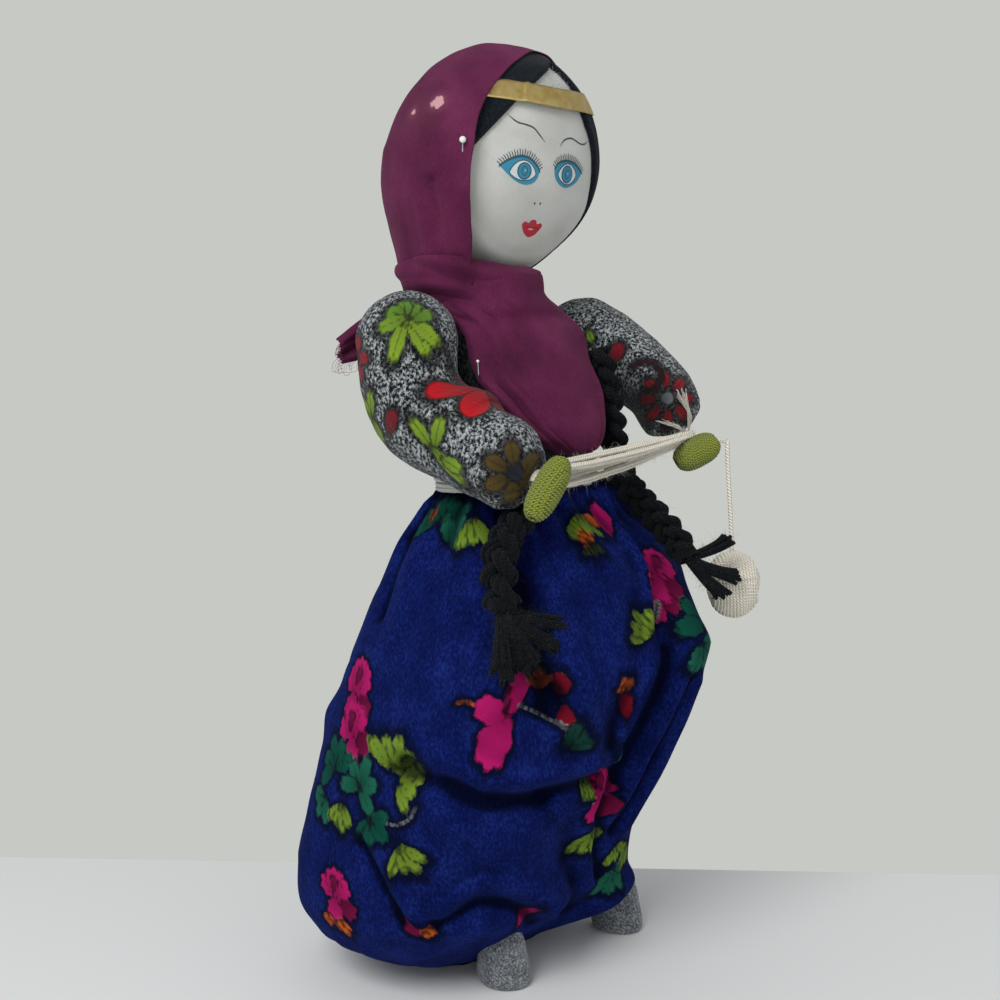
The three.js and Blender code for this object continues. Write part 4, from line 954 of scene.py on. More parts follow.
def felt_patch(name, inner, outer, rises, thickness, columns=36):
    """A felt patch on the head between two turns from the face's middle, at each rise, all in degrees."""
    fine = np.linspace(rises[0], rises[-1], 64)
    low = np.interp(fine, rises, inner)[:, None]
    high = np.interp(fine, rises, outer)[:, None]
    share = np.linspace(0, 1, columns)[None]
    turn = np.radians(low + (high - low) * share)
    way = upright_ways(np.radians(fine)[:, None], turn)
    thinned = (thickness - 0.9) * smoothstep(12, -22, fine)[:, None, None]
    points = head_surface(way, thickness) - way * thinned
    points += 0.12 * wobble(points, 4, 21)[..., None]
    edge = np.minimum(share, 1 - share) * columns
    points -= way * np.where(edge < 1.0, thickness * 0.6, 0)[..., None]
    return make_mesh(name, from_head(points).reshape(-1, 3), grid_faces(64, columns), "head")


felt = grained_material(
    "black_felt", (1500.0, 4.0), [(0.35, "06090d"), (0.7, "1a232c")], 0.0004,
    Roughness=1.0, Sheen_Weight=0.05, Sheen_Roughness=0.6, Specular_IOR_Level=0.1)
hair_near = felt_patch(
    "hair_felt_near", [-64, -50, -47, -38, -30.8, -24.5, -18.8, -9.5, 0.2, 13, 28, 60, 84], [-95] * 13,
    [-8, 3, 6.5, 16.8, 25.5, 32.9, 39.2, 46.9, 54.1, 61, 65, 74, 86], 2.0)
hair_far = felt_patch(
    "hair_felt_far", [56, 58, 52, 45, 43.5, 41, 37, 34.5, 33, 32.3, 31, 29, 60, 84], [95] * 14,
    [-58, -40, -14.5, 6, 13.5, 20.6, 25.9, 33, 39.8, 46.5, 55, 63, 74, 86], 2.6)
for piece in (hair_near, hair_far):
    paint(solid_cloth(piece, 0.9), felt)
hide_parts("hair")

# Parting: tufts of the white stuffing that show above the forehead between the two felt pieces.
tuft_x = np.random.default_rng(5).uniform(-8, 18, 1500)
tuft_z = np.random.default_rng(6).uniform(33, 48, 1500)
tuft_ways = way_to(tuft_x, tuft_z)
tufts = fuzz("parting_tufts", from_head(head_surface(tuft_ways, 0.1)), tuft_ways @ head_turn.T, 1.8, 0.05,
             "head", 9, 1.2)
paint(tufts, fibre_material("white_fibre", "d9d9d4"))

# Band: a strip of gold foil card across the forehead over the hair, creased once.
band_low, band_high, band_slant = 27.1, 35.2, 1.152
band_turn = np.linspace(-64, 70, 140)
band_rows = []
for share in np.linspace(0, 1, 8):
    level = band_low + (band_high - band_low) * share + band_slant * (np.sin(np.radians(band_turn)) + 0.7)
    rise = np.arcsin(np.clip(level / (head_tall + 3), -1, 1))
    way = upright_ways(rise, np.radians(band_turn))
    crease = 0.55 * bump(band_turn, -18, 2.0) - 0.3 * bump(band_turn, -22, 5)
    band_rows.append(head_surface(way, 3.4) + way * crease[:, None])
band_points = np.stack(band_rows)
band_faces = grid_faces(len(band_rows), len(band_turn))
band = make_mesh("gold_band", from_head(band_points).reshape(-1, 3), band_faces, "head")
gold_colours = [(0.3, "b89c55"), (0.7, "cdb77c")]
gold = grained_material("gold_foil", (240.0, 4.0), gold_colours, 0.0003, Metallic=0.85, Roughness=0.34)
paint(solid_cloth(band, 0.35), gold)
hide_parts("forehead_band")

# Scarf: one square of thin burgundy cotton, here in the hood, the wrap with its bib, and the back
# corner. The hood follows the head.
neck_middle = np.array([-2.0, 14.0])


def wrapped(degrees):
    """Degrees brought to between -180 and 180."""
    return (np.asarray(degrees) + 180) % 360 - 180


def far_pinch(degrees, level, low, high, depth=19.0):
    """How far the scarf is drawn in under the chin on its far side, a bell at 62 degrees from the front."""
    return depth * bump(wrapped(degrees), 62, 48) * smoothstep(low, high, level)


def hood_depth(points):
    """How far points lie outside the hood: the head's ball joined softly to a skirt down to the neck."""
    local = (points - head_middle) @ head_turn
    x, y, z = local[..., 0] / 49.6, local[..., 1] / 49.6, local[..., 2] / 53.6
    ball = (np.sqrt(x**2 + y**2 + z**2) - 1) * 50
    round_head = np.degrees(np.arctan2(local[..., 0], -local[..., 1]))
    ball = ball + 2.6 * bump(wrapped(round_head + 145), 0, 38) * bump(local[..., 2], 0, 40)
    level = points[..., 2]
    ball = ball + far_pinch(round_head, level, 338, 320, 7.0)
    skirt_at = [300, 312, 330, 345, 358, 372, 392, 412]
    wide = np.interp(level, skirt_at, [37, 38.5, 42.5, 44.5, 45, 43, 28, 6])
    deep = np.interp(level, skirt_at, [33, 35, 39, 42, 42.5, 40, 26, 6])
    dx, dy = points[..., 0] - neck_middle[0], points[..., 1] - neck_middle[1]
    skirt = (np.sqrt((dx / wide) ** 2 + (dy / deep) ** 2) - 1) * 38
    skirt = skirt + far_pinch(np.degrees(np.arctan2(dx, -dy)), level, 341, 322)
    skirt = np.maximum(skirt, np.maximum(302 - level, 3 * (level - 396)))
    soft = 7.0
    blend = np.clip(0.5 + 0.5 * (skirt - ball) / soft, 0, 1)
    return skirt * (1 - blend) + ball * blend - soft * blend * (1 - blend)


hood_rows, hood_columns = 150, 240
phi = np.linspace(-180, 180, hood_columns, endpoint=False)
edge_turn = [-218, -207, -190, -183.5, -167.5, -151, -133, -114.6, -98, -79, -60, -30, 0, 30, 55, 70, 79,
             91, 107.4, 122.3, 130, 142, 153, 170, 176.5, 192.5]
edge_reach = [52.3, 50.4, 46.8, 47, 46.9, 48.5, 52.8, 62.7, 70, 75, 80, 84, 85, 85, 84, 80, 75, 69.8, 61.3,
              56.5, 54.8, 52.3, 50.4, 46.8, 47, 46.9]
edge = np.interp(phi, edge_turn, edge_reach)
near_turns = bump(wrapped(phi[:, None] - phi[None]), 0, 4)
edge = near_turns @ edge / near_turns.sum(1)
share = np.linspace(0, 1, hood_rows)[:, None]
theta = np.radians(edge[None] + (179.5 - edge[None]) * share)
turn = np.radians(phi)[None]
ways = np.stack([np.sin(theta) * np.cos(turn), -np.cos(theta) + 0 * turn, np.sin(theta) * np.sin(turn)], -1)
world_ways = ways @ head_turn.T
low, high = np.full(theta.shape, 20.0), np.full(theta.shape, 110.0)
for _ in range(26):
    mid = (low + high) / 2
    outside = hood_depth(head_middle + world_ways * mid[..., None]) > 0
    high = np.where(outside, mid, high)
    low = np.where(outside, low, mid)
hood_points = head_middle + world_ways * ((low + high) / 2)[..., None]
around = np.degrees(np.arctan2(hood_points[..., 1] - neck_middle[1], hood_points[..., 0] - neck_middle[0]))
level = hood_points[..., 2]
gather = smoothstep(352, 315, level) * smoothstep(298, 308, level)
pleats = 1.3 * np.sin(np.radians(around * 7 + 0.9 * level))
pleats += 1.1 * np.abs(np.sin(np.radians(around * 4.5 - 1.4 * level)))
pleats += 1.2 * np.abs(np.sin(np.radians(around * 5.5 + 3.2 * level))) * smoothstep(338, 318, level)
drape = 0.8 * wobble(hood_points, 60, 31) * smoothstep(0, 0.15, share) + 0.25 * wobble(hood_points, 16, 32)
hood_points = hood_points + world_ways * (gather * pleats + drape)[..., None]
hood_lines = [([-48, -3, 352], [-43, -2, 321], -2.6, 2.6), ([-47, 4, 345], [-44, 5, 319], 1.9, 3.0),
              ([-45, -12, 338], [-40, -11, 318], -2.3, 2.0), ([-46, 14, 352], [-42, 17, 318], -2.0, 3.0)]
for top, bottom, depth, width in hood_lines:
    along = np.array(bottom, float) - top
    passed = np.clip((hood_points - top) @ along / (along @ along), 0, 1)
    gap = np.linalg.norm(hood_points - top - passed[..., None] * along, axis=-1)
    hood_points = hood_points + world_ways * (depth * bump(gap, 0, width))[..., None]
hood_points = hood_points + world_ways * (0.5 * bump(share, 0, 0.012))[..., None]
hood_uv = np.stack([np.broadcast_to(phi[None] * 0.8, theta.shape), hood_points[..., 2]], -1)
hood_faces = grid_faces(hood_rows, hood_columns, True)
hood = make_mesh("hood", hood_points.reshape(-1, 3), hood_faces, uv=hood_uv.reshape(-1, 2))


def cotton_material():
    """Thin burgundy cotton: a fine weave, with a worn pink patch on the crown."""
    made, tree, principled = new_material(
        "scarf_cotton", Roughness=0.92, Sheen_Weight=0.12, Sheen_Roughness=0.5, Specular_IOR_Level=0.1)
    principled.inputs["Sheen Tint"].default_value = linear("e090b8")
    slow = object_noise(tree, 45.0, 4.0)
    fine = object_noise(tree, 1700.0, 2.0)
    weave = object_noise(tree, 900.0, 1.0, (3.0, 3.0, 0.5))
    burgundies = [(0.3, "41152d"), (0.52, "5a2040"), (0.72, "6b2c4c")]
    base = ramp(tree, added(tree, slow, 0.7, weave, 0.3), burgundies)
    wear = field(tree, "worn")
    ragged = maths(tree, "MULTIPLY", wear, object_noise(tree, 420.0, 5.0))
    ragged = maths(tree, "MULTIPLY_ADD", ragged, 5.0, -2.9)
    ragged.node.use_clamp = True
    patchy = maths(tree, "MULTIPLY_ADD", wear, 0.08, ragged)
    faded = mix_colour(tree, patchy, base, linear("c29096"))
    height = maths(tree, "ADD", weave, maths(tree, "MULTIPLY", fine, 0.5))
    finish_shader(tree, principled, faded, height, 0.0003)
    return made


cotton = cotton_material()
worn_spots = [([-43.5, -5, 385.1], 3.6, 2.4), ([-45.8, 8.5, 383.1], 2.6, 1.3), ([-45, 3, 382], 10, 0.4)]
hood_wear = sum(depth * swelling(hood_points.reshape(-1, 3), spot, size) for spot, size, depth in worn_spots)
hood.data.attributes.new("worn", "FLOAT", "POINT").data.foreach_set("value", hood_wear)
paint(solid_cloth(hood, 0.5), cotton)
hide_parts("scarf_hood")
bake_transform(hood)

# The wrap and the bib are laid over the solids beneath them: rays from outside find how far out they lie.


def solid_tree(*names):
    """A search tree over carried-over solids, in the doll's millimetres."""
    points, faces, start = [], [], 0
    for name in names:
        here = node_points(name)
        points += here.tolist()
        faces += [[start + k for k in p.vertices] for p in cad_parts[name].data.polygons]
        start += len(here)
    return BVHTree.FromPolygons(points, faces)


def reach_of(tree, axis, turns, levels, far=160.0, least=0.0):
    """The distance from an upright axis to the outermost surface, over turns from -Y and levels."""
    found = np.full(turns.shape, least)
    for at in np.ndindex(turns.shape):
        way = Vector((math.sin(turns[at]), -math.cos(turns[at]), 0))
        start = Vector((axis[0], axis[1], levels[at])) + way * far
        hit, _, _, distance = tree.ray_cast(start, -way, far)
        if hit is not None:
            found[at] = max(least, far - distance)
    return found


def softened(values, rows_by, columns_by, wrap=False):
    """A grid of values blurred by bells of the given widths in rows and columns."""
    for axis, width in ((0, rows_by), (1, columns_by)):
        count = values.shape[axis]
        gap = np.abs(np.arange(count)[:, None] - np.arange(count)[None])
        if wrap and axis == 1:
            gap = np.minimum(gap, count - gap)
        share = np.exp(-((gap / max(width, 0.01)) ** 2))
        share /= share.sum(1)[:, None]
        values = np.tensordot(share, np.moveaxis(values, axis, 0), 1)
        values = np.moveaxis(values, 0, axis)
    return values


def round_axis(axis, reach, turns, levels):
    """Points at a distance from an upright axis, over turns from -Y and levels."""
    return np.stack([axis[0] + reach * np.sin(turns), axis[1] - reach * np.cos(turns), levels], -1)


wrap_tree = solid_tree("scarf_wrap")
wrap_rows, wrap_columns = 44, 240
wrap_turn = np.radians(np.linspace(-180, 180, wrap_columns, endpoint=False))[None] + np.zeros((wrap_rows, 1))
wrap_rise = np.linspace(0, 1, wrap_rows)[:, None] + 0 * wrap_turn
wrap_degrees = np.degrees(wrap_turn)
wrap_near = bump(wrap_degrees, -80, 48)
wrap_bottom, wrap_tall = 288.0, 28.0
wrap_level = wrap_bottom + (wrap_tall + 5.5 * wrap_near) * wrap_rise
wrap_reach = reach_of(wrap_tree, neck_middle, wrap_turn, np.clip(wrap_level, 293, 311), 90.0, 33.0)
wrap_reach = softened(wrap_reach, 2.5, 4, True)
hood_tree = BVHTree.FromPolygons(hood_points.reshape(-1, 3).tolist(), hood_faces)
hood_reach = reach_of(hood_tree, neck_middle, wrap_turn, np.maximum(wrap_level, 306), 90.0, 33.0)
hood_reach = softened(hood_reach, 2.5, 4, True)
wrap_reach = wrap_reach - (6.0 - 4.0 * wrap_near) * smoothstep(0.86, 1.0, wrap_rise) ** 2
wrap_reach -= 2.0 * smoothstep(0.1, 0.0, wrap_rise)
over_hood = np.maximum(hood_reach + 1.5 - wrap_reach, 0) * smoothstep(0.1, 0.6, wrap_near)
wrap_reach += over_hood * smoothstep(300, 310, wrap_level) - far_pinch(wrap_degrees, wrap_level, 292, 306)
slant = wrap_level + 5.0 * np.sin(wrap_turn + 0.8)
wrap_folds = 1.3 * np.abs(np.sin(slant * 0.32 + 1.5 * np.sin(wrap_turn)))
wrap_folds += 0.6 * np.sin(slant * 0.55 + 3 * wrap_turn)
wrap_slope = wrap_degrees * 3.2 + 9.0 * (wrap_level - wrap_bottom)
wrap_folds += 1.6 * wrap_near * np.abs(np.sin(np.radians(wrap_slope)))
wrap_height = wrap_level + 0.8 * np.sin(3 * wrap_turn)
wrap_points = round_axis(neck_middle, wrap_reach + wrap_folds, wrap_turn, wrap_height)
wrap_faces = grid_faces(wrap_rows, wrap_columns, True)
wrap = make_mesh("scarf_neck_wrap", wrap_points.reshape(-1, 3), wrap_faces, "torso")
wrap.data.attributes.new("worn", "FLOAT", "POINT")
paint(solid_cloth(wrap, 0.6), cotton)
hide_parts("scarf_wrap")

# Bib: the front of the scarf, that hangs from under the chin over the chest to a rounded tip. Its
# near edge is folded under and pinned, and it swells out over the far sleeve.
bib_tree = solid_tree("scarf_wrap", "scarf_bib", "bodice", "torso")
bib_rows, bib_columns = 150, 110
bib_v = np.linspace(0, 1, bib_rows)[:, None]
bib_u = np.linspace(0, 1, bib_columns)[None]
bib_top, bib_tip = 315.0, 233.2
drop_at = [315, 304, 297, 291, 286, 276, 267, 259, 251, 246, 241, 237, 234.6, 233.2]
right_at = [-90, -87, -78, -67, -61, -58.5, -53.5, -43.5, -36, -30.5, -23.5, -15.5, -8.5, -3.0]
left_at = [30, 34, 38, 39, 36, 32.5, 30.5, 28.5, 26.5, 24, 19.5, 13.5, 8.0, 2.5]
bib_level = bib_top + (bib_tip - bib_top) * bib_v + 0 * bib_u
low_turn = np.interp(-bib_level, [-d for d in drop_at], right_at)
high_turn = np.interp(-bib_level, [-d for d in drop_at], left_at)
low_turn, high_turn = softened(low_turn, 2.0, 0.01), softened(high_turn, 2.0, 0.01)
bib_turn = np.radians(low_turn + (high_turn - low_turn) * bib_u)
bib_reach = reach_of(bib_tree, neck_middle, bib_turn, np.clip(bib_level, 234.5, 311), 90.0, 30.0)
bib_reach = softened(bib_reach, 5, 5) + 1.2 * smoothstep(316, 305, bib_level)
bib_reach -= far_pinch(np.degrees(bib_turn), bib_level, 292, 306)
hang = smoothstep(0.0, 0.35, bib_v)
bib_cloth = np.stack([bib_u * 60 + 0 * bib_v, bib_v * 22 + 0 * bib_u, 0 * bib_level], -1)
bib_folds = 0.9 * wobble(bib_cloth, 26, 41) * hang
near_ridge = 1.5 * bump(bib_u, 0.12 + 0.22 * bib_v, 0.035) * smoothstep(0.02, 0.3, bib_v)
bib_folds += near_ridge * smoothstep(0.85, 0.5, bib_v)
near_valley = 1.1 * bump(bib_u, 0.21 + 0.2 * bib_v, 0.03) * smoothstep(0.05, 0.3, bib_v)
bib_folds -= near_valley * smoothstep(0.8, 0.5, bib_v)
bib_folds += 1.9 * bump(bib_u, 0.05, 0.03) * smoothstep(0.1, 0.4, bib_v)
lower_pair = 1.2 * bump(bib_u, 0.19, 0.022) - 1.6 * bump(bib_u, 0.125, 0.022)
bib_folds += lower_pair * smoothstep(0.4, 0.55, bib_v)
bib_folds -= 0.9 * bump(bib_u, 0.12 + 0.35 * (bib_v - 0.6), 0.028) * smoothstep(0.6, 0.9, bib_v)
far_ridge = 1.0 * bump(bib_u, 0.94, 0.03) * smoothstep(0.15, 0.4, bib_v)
bib_folds += far_ridge - 0.7 * bump(bib_u, 0.86, 0.03) * hang
bib_folds += 0.8 * np.sin(2 * np.pi * (bib_u * 2.2 + bib_v * 1.7)) * smoothstep(0.3, 0.0, bib_v)
edge_gap = np.minimum(bib_u * (high_turn - low_turn), (1 - bib_u) * (high_turn - low_turn))
tuck = 2.4 * smoothstep(1.5, 0.0, edge_gap) + 2.0 * smoothstep(0.975, 1.0, bib_v)
tuck += 5.0 * smoothstep(0.03, 0, bib_v)
bib_points = round_axis(neck_middle, bib_reach + bib_folds + 0.6 - tuck, bib_turn, bib_level)
bib_faces = grid_faces(bib_rows, bib_columns)
bib = make_mesh("scarf_front_bib", bib_points.reshape(-1, 3), bib_faces, "torso")
bib.data.attributes.new("worn", "FLOAT", "POINT")
paint(solid_cloth(bib, 0.6), cotton)
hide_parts("scarf_bib")

# Corner: the scarf's back corner, that sticks out behind the near shoulder with a frayed edge.
corner_rows, corner_columns = 50, 36
corner_t = np.linspace(0, 1, corner_rows)[:, None]
corner_u = np.linspace(-1, 1, corner_columns)[None]
corner_root, corner_tip = np.array([-29.75, 38.3, 298.0]), np.array([-67.0, 42.6, 283.5])
root_half, tip_half = 13, 5.5
corner_half = root_half + (tip_half - root_half) * corner_t ** 1.2
corner_wave = 2 * np.sin(3 * corner_t) + 1.2 * np.sin(4.4 * corner_u + 3 * corner_t)
corner_wave = corner_wave + 0.6 * np.sin(9 * corner_u - 2 * corner_t)
ragged = 0.7 * np.sin(31 * corner_u) * smoothstep(0.9, 1.0, corner_t)
corner_points = np.stack([
    corner_root[0] + (corner_tip - corner_root)[0] * corner_t + ragged,
    corner_root[1] + (corner_tip - corner_root)[1] * corner_t + corner_wave,
    corner_root[2] + (corner_tip - corner_root)[2] * corner_t + corner_half * corner_u], -1)
corner_faces = grid_faces(corner_rows, corner_columns)
corner = make_mesh("scarf_back_corner", corner_points.reshape(-1, 3), corner_faces, "torso")
corner.data.attributes.new("worn", "FLOAT", "POINT")
paint(solid_cloth(corner, 0.6, 0), cotton)
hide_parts("scarf_corner")
thread_chance = np.random.default_rng(15)
threads = []
for k in range(26):
    row, column = (-1, int(thread_chance.integers(0, 30))) if k < 15 else (-1 - 2 * (k - 15), 0)
    foot = corner_points[row, column]
    loop = thread_chance.uniform(2.0, 6.0)
    sway = thread_chance.uniform(-1.2, 1.2)
    threads.append(resample([
        foot, foot + [-0.4 * loop, sway, -0.4 * loop], foot + [-0.5 * loop, sway * 1.5, -loop],
        foot + [0.1 * loop, sway, -1.1 * loop + abs(sway)]], 14))
fray = tubes("scarf_fray", threads, 0.09, "torso", 4)
paint(fray, fibre_material("burgundy_fibre", "7d4058"))

# Pins: steel sewing pins with small white glass heads, stuck through the folds of the scarf.
glass_colours, steel_colours = [(0.35, "dcdcd6"), (0.7, "f2f2ee")], [(0.3, "9a9d9f"), (0.7, "d2d4d5")]
glass = grained_material("pin_white", (700.0, 2.0), glass_colours, Roughness=0.18, Coat_Weight=0.5)
steel, steel_tree, steel_shader = new_material("pin_steel", Metallic=1.0)
scratch = object_noise(steel_tree, 900.0, 3.0, (1, 1, 0.1))
finish_shader(steel_tree, steel_shader, ramp(steel_tree, scratch, steel_colours))
feed(steel_tree, steel_shader.inputs["Roughness"], maths(steel_tree, "MULTIPLY_ADD", scratch, 0.2, 0.2))


def solid_pin_ends(name):
    """The middle of a solid pin's head and the tip of its shaft, found from where it is thick and thin."""
    solid = node_points(name)
    from_middle = solid - solid.mean(0)
    spread = np.linalg.norm(from_middle, axis=1)
    line = from_middle[np.argmax(spread)] / spread.max()
    along = from_middle @ line
    limits = (along.max(), along.min())
    girth = [np.linalg.norm(np.ptp(solid[np.abs(along - end) < 3.0], axis=0)) for end in limits]
    ends = [solid.mean(0) + line * end for end in limits]
    if girth[0] < girth[1]:
        ends.reverse()
    return ends[0] + (ends[1] - ends[0]) * 0.1, ends[1]


pins = {
    "pin_crown": ("head", [-43.9, -19.3, 367.3], [-42.6, -17.2, 361.0], 1.45),
    "pin_chest": ("torso", [-37.1, -13.6, 275.6], [-37.4, -13.9, 268.8], 0.7),
    "pin_shoulder": ("torso", *solid_pin_ends("pin_shoulder"), 1.45),
}
for name, (body, head_at, tip_at, radius) in pins.items():
    shaft_path = resample([head_at, (np.array(head_at) + tip_at) / 2, tip_at], 8)
    pin_head = closed_grid(f"{name}_head", head_at + globe(16, 20) * radius, body)
    shaft_radius = np.r_[np.full(6, 0.34), 0.22, 0.08]
    paint(pin_head, glass)
    paint(tubes(f"{name}_shaft", [shaft_path], shaft_radius, body, 8), steel)
    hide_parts(name)

# Bodice: the stuffed torso's own fleece, seen in the gaps between the scarf and the sleeves. Its front is
# painted near black as shade.
bodice_tree = solid_tree("bodice")
bodice_rows, bodice_bottom, bodice_top = 70, 215, 291.5
bodice_turn = np.radians(np.linspace(-180, 180, 180, endpoint=False))[None] + np.zeros((bodice_rows, 1))
bodice_level = np.linspace(bodice_bottom, bodice_top, bodice_rows)[:, None] + 0 * bodice_turn
bodice_reach = softened(reach_of(bodice_tree, (0, 0), bodice_turn, bodice_level, 90.0, 20.0), 2, 4, True)
bodice_gathers = 0.5 * np.sin(bodice_turn * 11 + bodice_level * 0.05)
bodice_out = bodice_reach + bodice_gathers * smoothstep(245, 220, bodice_level)
bodice_points = round_axis((0, 0), bodice_out, bodice_turn, bodice_level)
flat = bodice_points.reshape(-1, 3)
out = unit(flat * [1, 1, 0])
bodice_prints = [
    {"centre": [-25, -20, 262], "turn": 20, "size": 1.1, "shapes": flower("7c1220", "17110f", 6)},
    {"centre": [20, 24, 268], "size": 1.2, "shapes": leaf_spray(dull_green, 7, 11, 5.2, 300)},
    {"centre": [-18, 26, 244], "size": 1.2, "shapes": flower("8c1522", "17110f", 6)},
    {"centre": [10, 28, 232], "turn": 30, "shapes": leaf_spray(dull_green, 4, 12, 5, 140)},
]
# Painted shade: the front of the bodice, behind the bib and the arms, turns near black.
bodice_shade = 0.97 * smoothstep(34, -6, flat[:, 1] + 8 * wobble(flat, 22, 51))
bodice = closed_grid("bodice_cloth", bodice_points, "torso",
                     {**print_motifs(flat, out, bodice_prints), "dark": bodice_shade})
paint(bodice, fleece_print)
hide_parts("bodice")

# Waist tie: white cotton yarn wound several times round the waist over the gathered trousers.
tie_tree = solid_tree("waist_tie")
tie_turns, tie_count = 7.0, 700
tie_turn = np.linspace(0, tie_turns, tie_count)
tie_angle = tie_turn * 2 * np.pi
tie_bottom, tie_tall, tie_middle = 219.6, 8.0, 223.5
tie_level = tie_bottom + tie_tall * (0.5 - 0.5 * np.cos(tie_turn * 1.05)) + 0.5 * np.sin(tie_turn * 9)
tie_reach = reach_of(tie_tree, (0, 0), tie_angle[None], np.full((1, tie_count), tie_middle), 90.0, 25.0)[0]
tie_reach = softened(tie_reach[None], 0.01, 4)[0] - 0.9 + 0.5 * np.sin(tie_turn * 5.3)
under_tie = reach_of(bodice_tree, (0, 0), tie_angle[None], np.clip(tie_level, 216, 290)[None], 90.0, 20.0)[0]
tie_reach = np.maximum(tie_reach, under_tie + 1.3)
tie_reach += 4.5 * bump(wrapped(np.degrees(tie_angle) + 115), 0, 42)
tie_path = round_axis((0, 0), tie_reach, tie_angle, tie_level)
white_yarn = yarn_material("white_cotton", "a9aca8", "e6e7e2", 0.2, 3.0, 4.0)
tie = paint(tubes("waist_tie_yarn", [tie_path], 1.15, "torso", 8), white_yarn)
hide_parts("waist_tie")

# Trousers: wide harem trousers of blue flannel with a print of roses, leaves and stems. The cloth is
# gathered at the waist, falls in big soft folds and is drawn in above the feet.
section_at = np.array([0, 7, 20, 36, 57, 103, 144, 178, 195, 211, 217.5])
section_x = np.array([-13, -17, -20, -20, -20, -8, 3, 4, 2, 0, 0.0])
section_y = np.array([28, 33, 35, 32, 27, 13, -1, -3, -2, 0, 0.0])
section_wide = np.array([28, 50, 70, 79, 81, 84, 86, 74, 62, 46, 40.2])
section_deep = np.array([13, 30, 49, 65, 65, 73, 75, 61, 53, 38, 31.0])
trouser_rows, trouser_columns = 170, 360
trouser_share = np.linspace(0, 1, trouser_rows)[:, None]
trouser_degrees = np.linspace(0, 360, trouser_columns, endpoint=False)[None] + 0 * trouser_share
trouser_waist, trouser_hem = 219.0, 0.35
trouser_level = trouser_waist * (1 - trouser_share) ** 1.3 + trouser_hem + 0 * trouser_degrees
trouser_turn = np.radians(trouser_degrees)
across_share = np.abs(np.cos(trouser_turn)) / np.interp(trouser_level, section_at, section_wide)
back_share = np.abs(np.sin(trouser_turn)) / np.interp(trouser_level, section_at, section_deep)
trouser_reach = (across_share**2.5 + back_share**2.5) ** (-1 / 2.5)
trouser_reach -= 10 * bump(trouser_degrees, 319, 15) * bump(trouser_level, 166, 34)
trouser_reach = softened(trouser_reach, 4.0, 0.01, True)


def fold_gap(path):
    """How far each place on the trousers lies from a fold line given in degrees round and height."""
    line = resample(np.asarray(path, float), 40)
    nearest = np.full(trouser_degrees.shape, 1e9)
    side = np.zeros(trouser_degrees.shape)
    for k in range(len(line) - 1):
        around = wrapped(trouser_degrees - line[k, 0]) * np.maximum(trouser_reach, 30) * math.pi / 180
        step_x = (line[k + 1, 0] - line[k, 0]) * 1.35
        step_z = line[k + 1, 1] - line[k, 1]
        up = trouser_level - line[k, 1]
        t = np.clip((around * step_x + up * step_z) / (step_x**2 + step_z**2 + 1e-9), 0, 1)
        dx, dz = around - t * step_x, up - t * step_z
        gap = np.hypot(dx, dz)
        closer = gap < nearest
        nearest = np.where(closer, gap, nearest)
        side = np.where(closer, np.sign(dx * step_z - dz * step_x + 1e-9), side)
    return nearest, side


def fold(path, height, width, step=0.0, reach=14.0):
    """A ridge along a line, or a valley if height is below 0; step lowers the cloth on its right."""
    gap, side = fold_gap(path)
    ledge = step * (side > 0) * (1 - bump(gap, 0, 0.45 * width)) * bump(gap, 0, reach)
    return height * bump(gap, 0, width) + ledge


flat_places = np.stack([
    trouser_reach * np.cos(trouser_turn), trouser_reach * np.sin(trouser_turn), trouser_level], -1)
trouser_folds = 0.9 * wobble(flat_places, 70, 51) + 0.4 * wobble(flat_places, 22, 52)
fold_lines = [
    ([(213, 214), (215, 189), (218, 169), (221, 153), (229, 138)], -11, 9.5),
    ([(226, 212), (226, 188), (229, 172), (231, 160), (234, 147), (242, 128), (254, 106)], 4.5, 6.5),
    ([(200, 211), (205, 189), (206, 169), (209, 152), (218, 141)], 2.5, 7),
    ([(297, 204), (292, 186), (284, 164), (277, 140), (275, 118), (277, 100)], -11, 15),
    ([(283, 205), (281, 186), (270, 164), (262, 140), (262, 118), (266, 100)], 5, 6.5, -3.5, 12),
    ([(191, 121), (209, 114), (218, 108), (233, 104), (251, 104), (265, 104)], 3.5, 6),
    ([(194, 110), (209, 103), (220, 96), (233, 94), (251, 95), (266, 96)], -7.5, 6),
    ([(203, 105), (213, 93), (228, 77), (247, 57), (262, 37)], 4.5, 8),
    ([(240, 92), (256, 78), (269, 58), (286, 26)], -6, 6),
    ([(248, 88), (262, 70), (276, 48), (291, 24)], 2.5, 4.5),
    ([(276, 76), (284, 60), (290, 42)], -4, 4),
    ([(219, 50), (229, 59), (245, 52), (259, 38)], 3.5, 5),
    ([(217, 41), (229, 49), (243, 43), (256, 30)], -3.5, 4),
    ([(185, 78), (195, 66), (202, 55), (207, 43)], -2.4, 2.2),
    ([(188, 80), (199, 67), (206, 55), (211, 43)], 1.6, 4),
    ([(284, 145), (284, 122), (283, 98), (277, 82)], -3, 4),
    ([(289, 140), (290, 118), (289, 95), (284, 76)], 3, 4.5),
    ([(303, 125), (304, 100), (303, 80), (299, 63)], 2.5, 5),
    ([(297, 128), (297, 102), (296, 82), (292, 64)], -5, 5.5),
    ([(157, 200), (159, 186), (161, 168)], -3.5, 3.5),
    ([(168, 200), (171, 184), (174, 168)], 2.0, 6),
    ([(120, 190), (112, 150), (108, 105), (118, 60)], -6, 9),
    ([(75, 190), (70, 150), (60, 105), (62, 55)], -7, 10),
    ([(35, 185), (30, 140), (20, 95), (28, 50)], -6, 9),
    ([(345, 180), (338, 140), (330, 100), (322, 60)], -5, 8),
    ([(140, 120), (120, 95), (95, 85), (60, 88)], 3.5, 9),
    ([(304, 22), (323, 22)], 15, 10),
]
for fold_line in fold_lines:
    trouser_folds += fold(*fold_line)
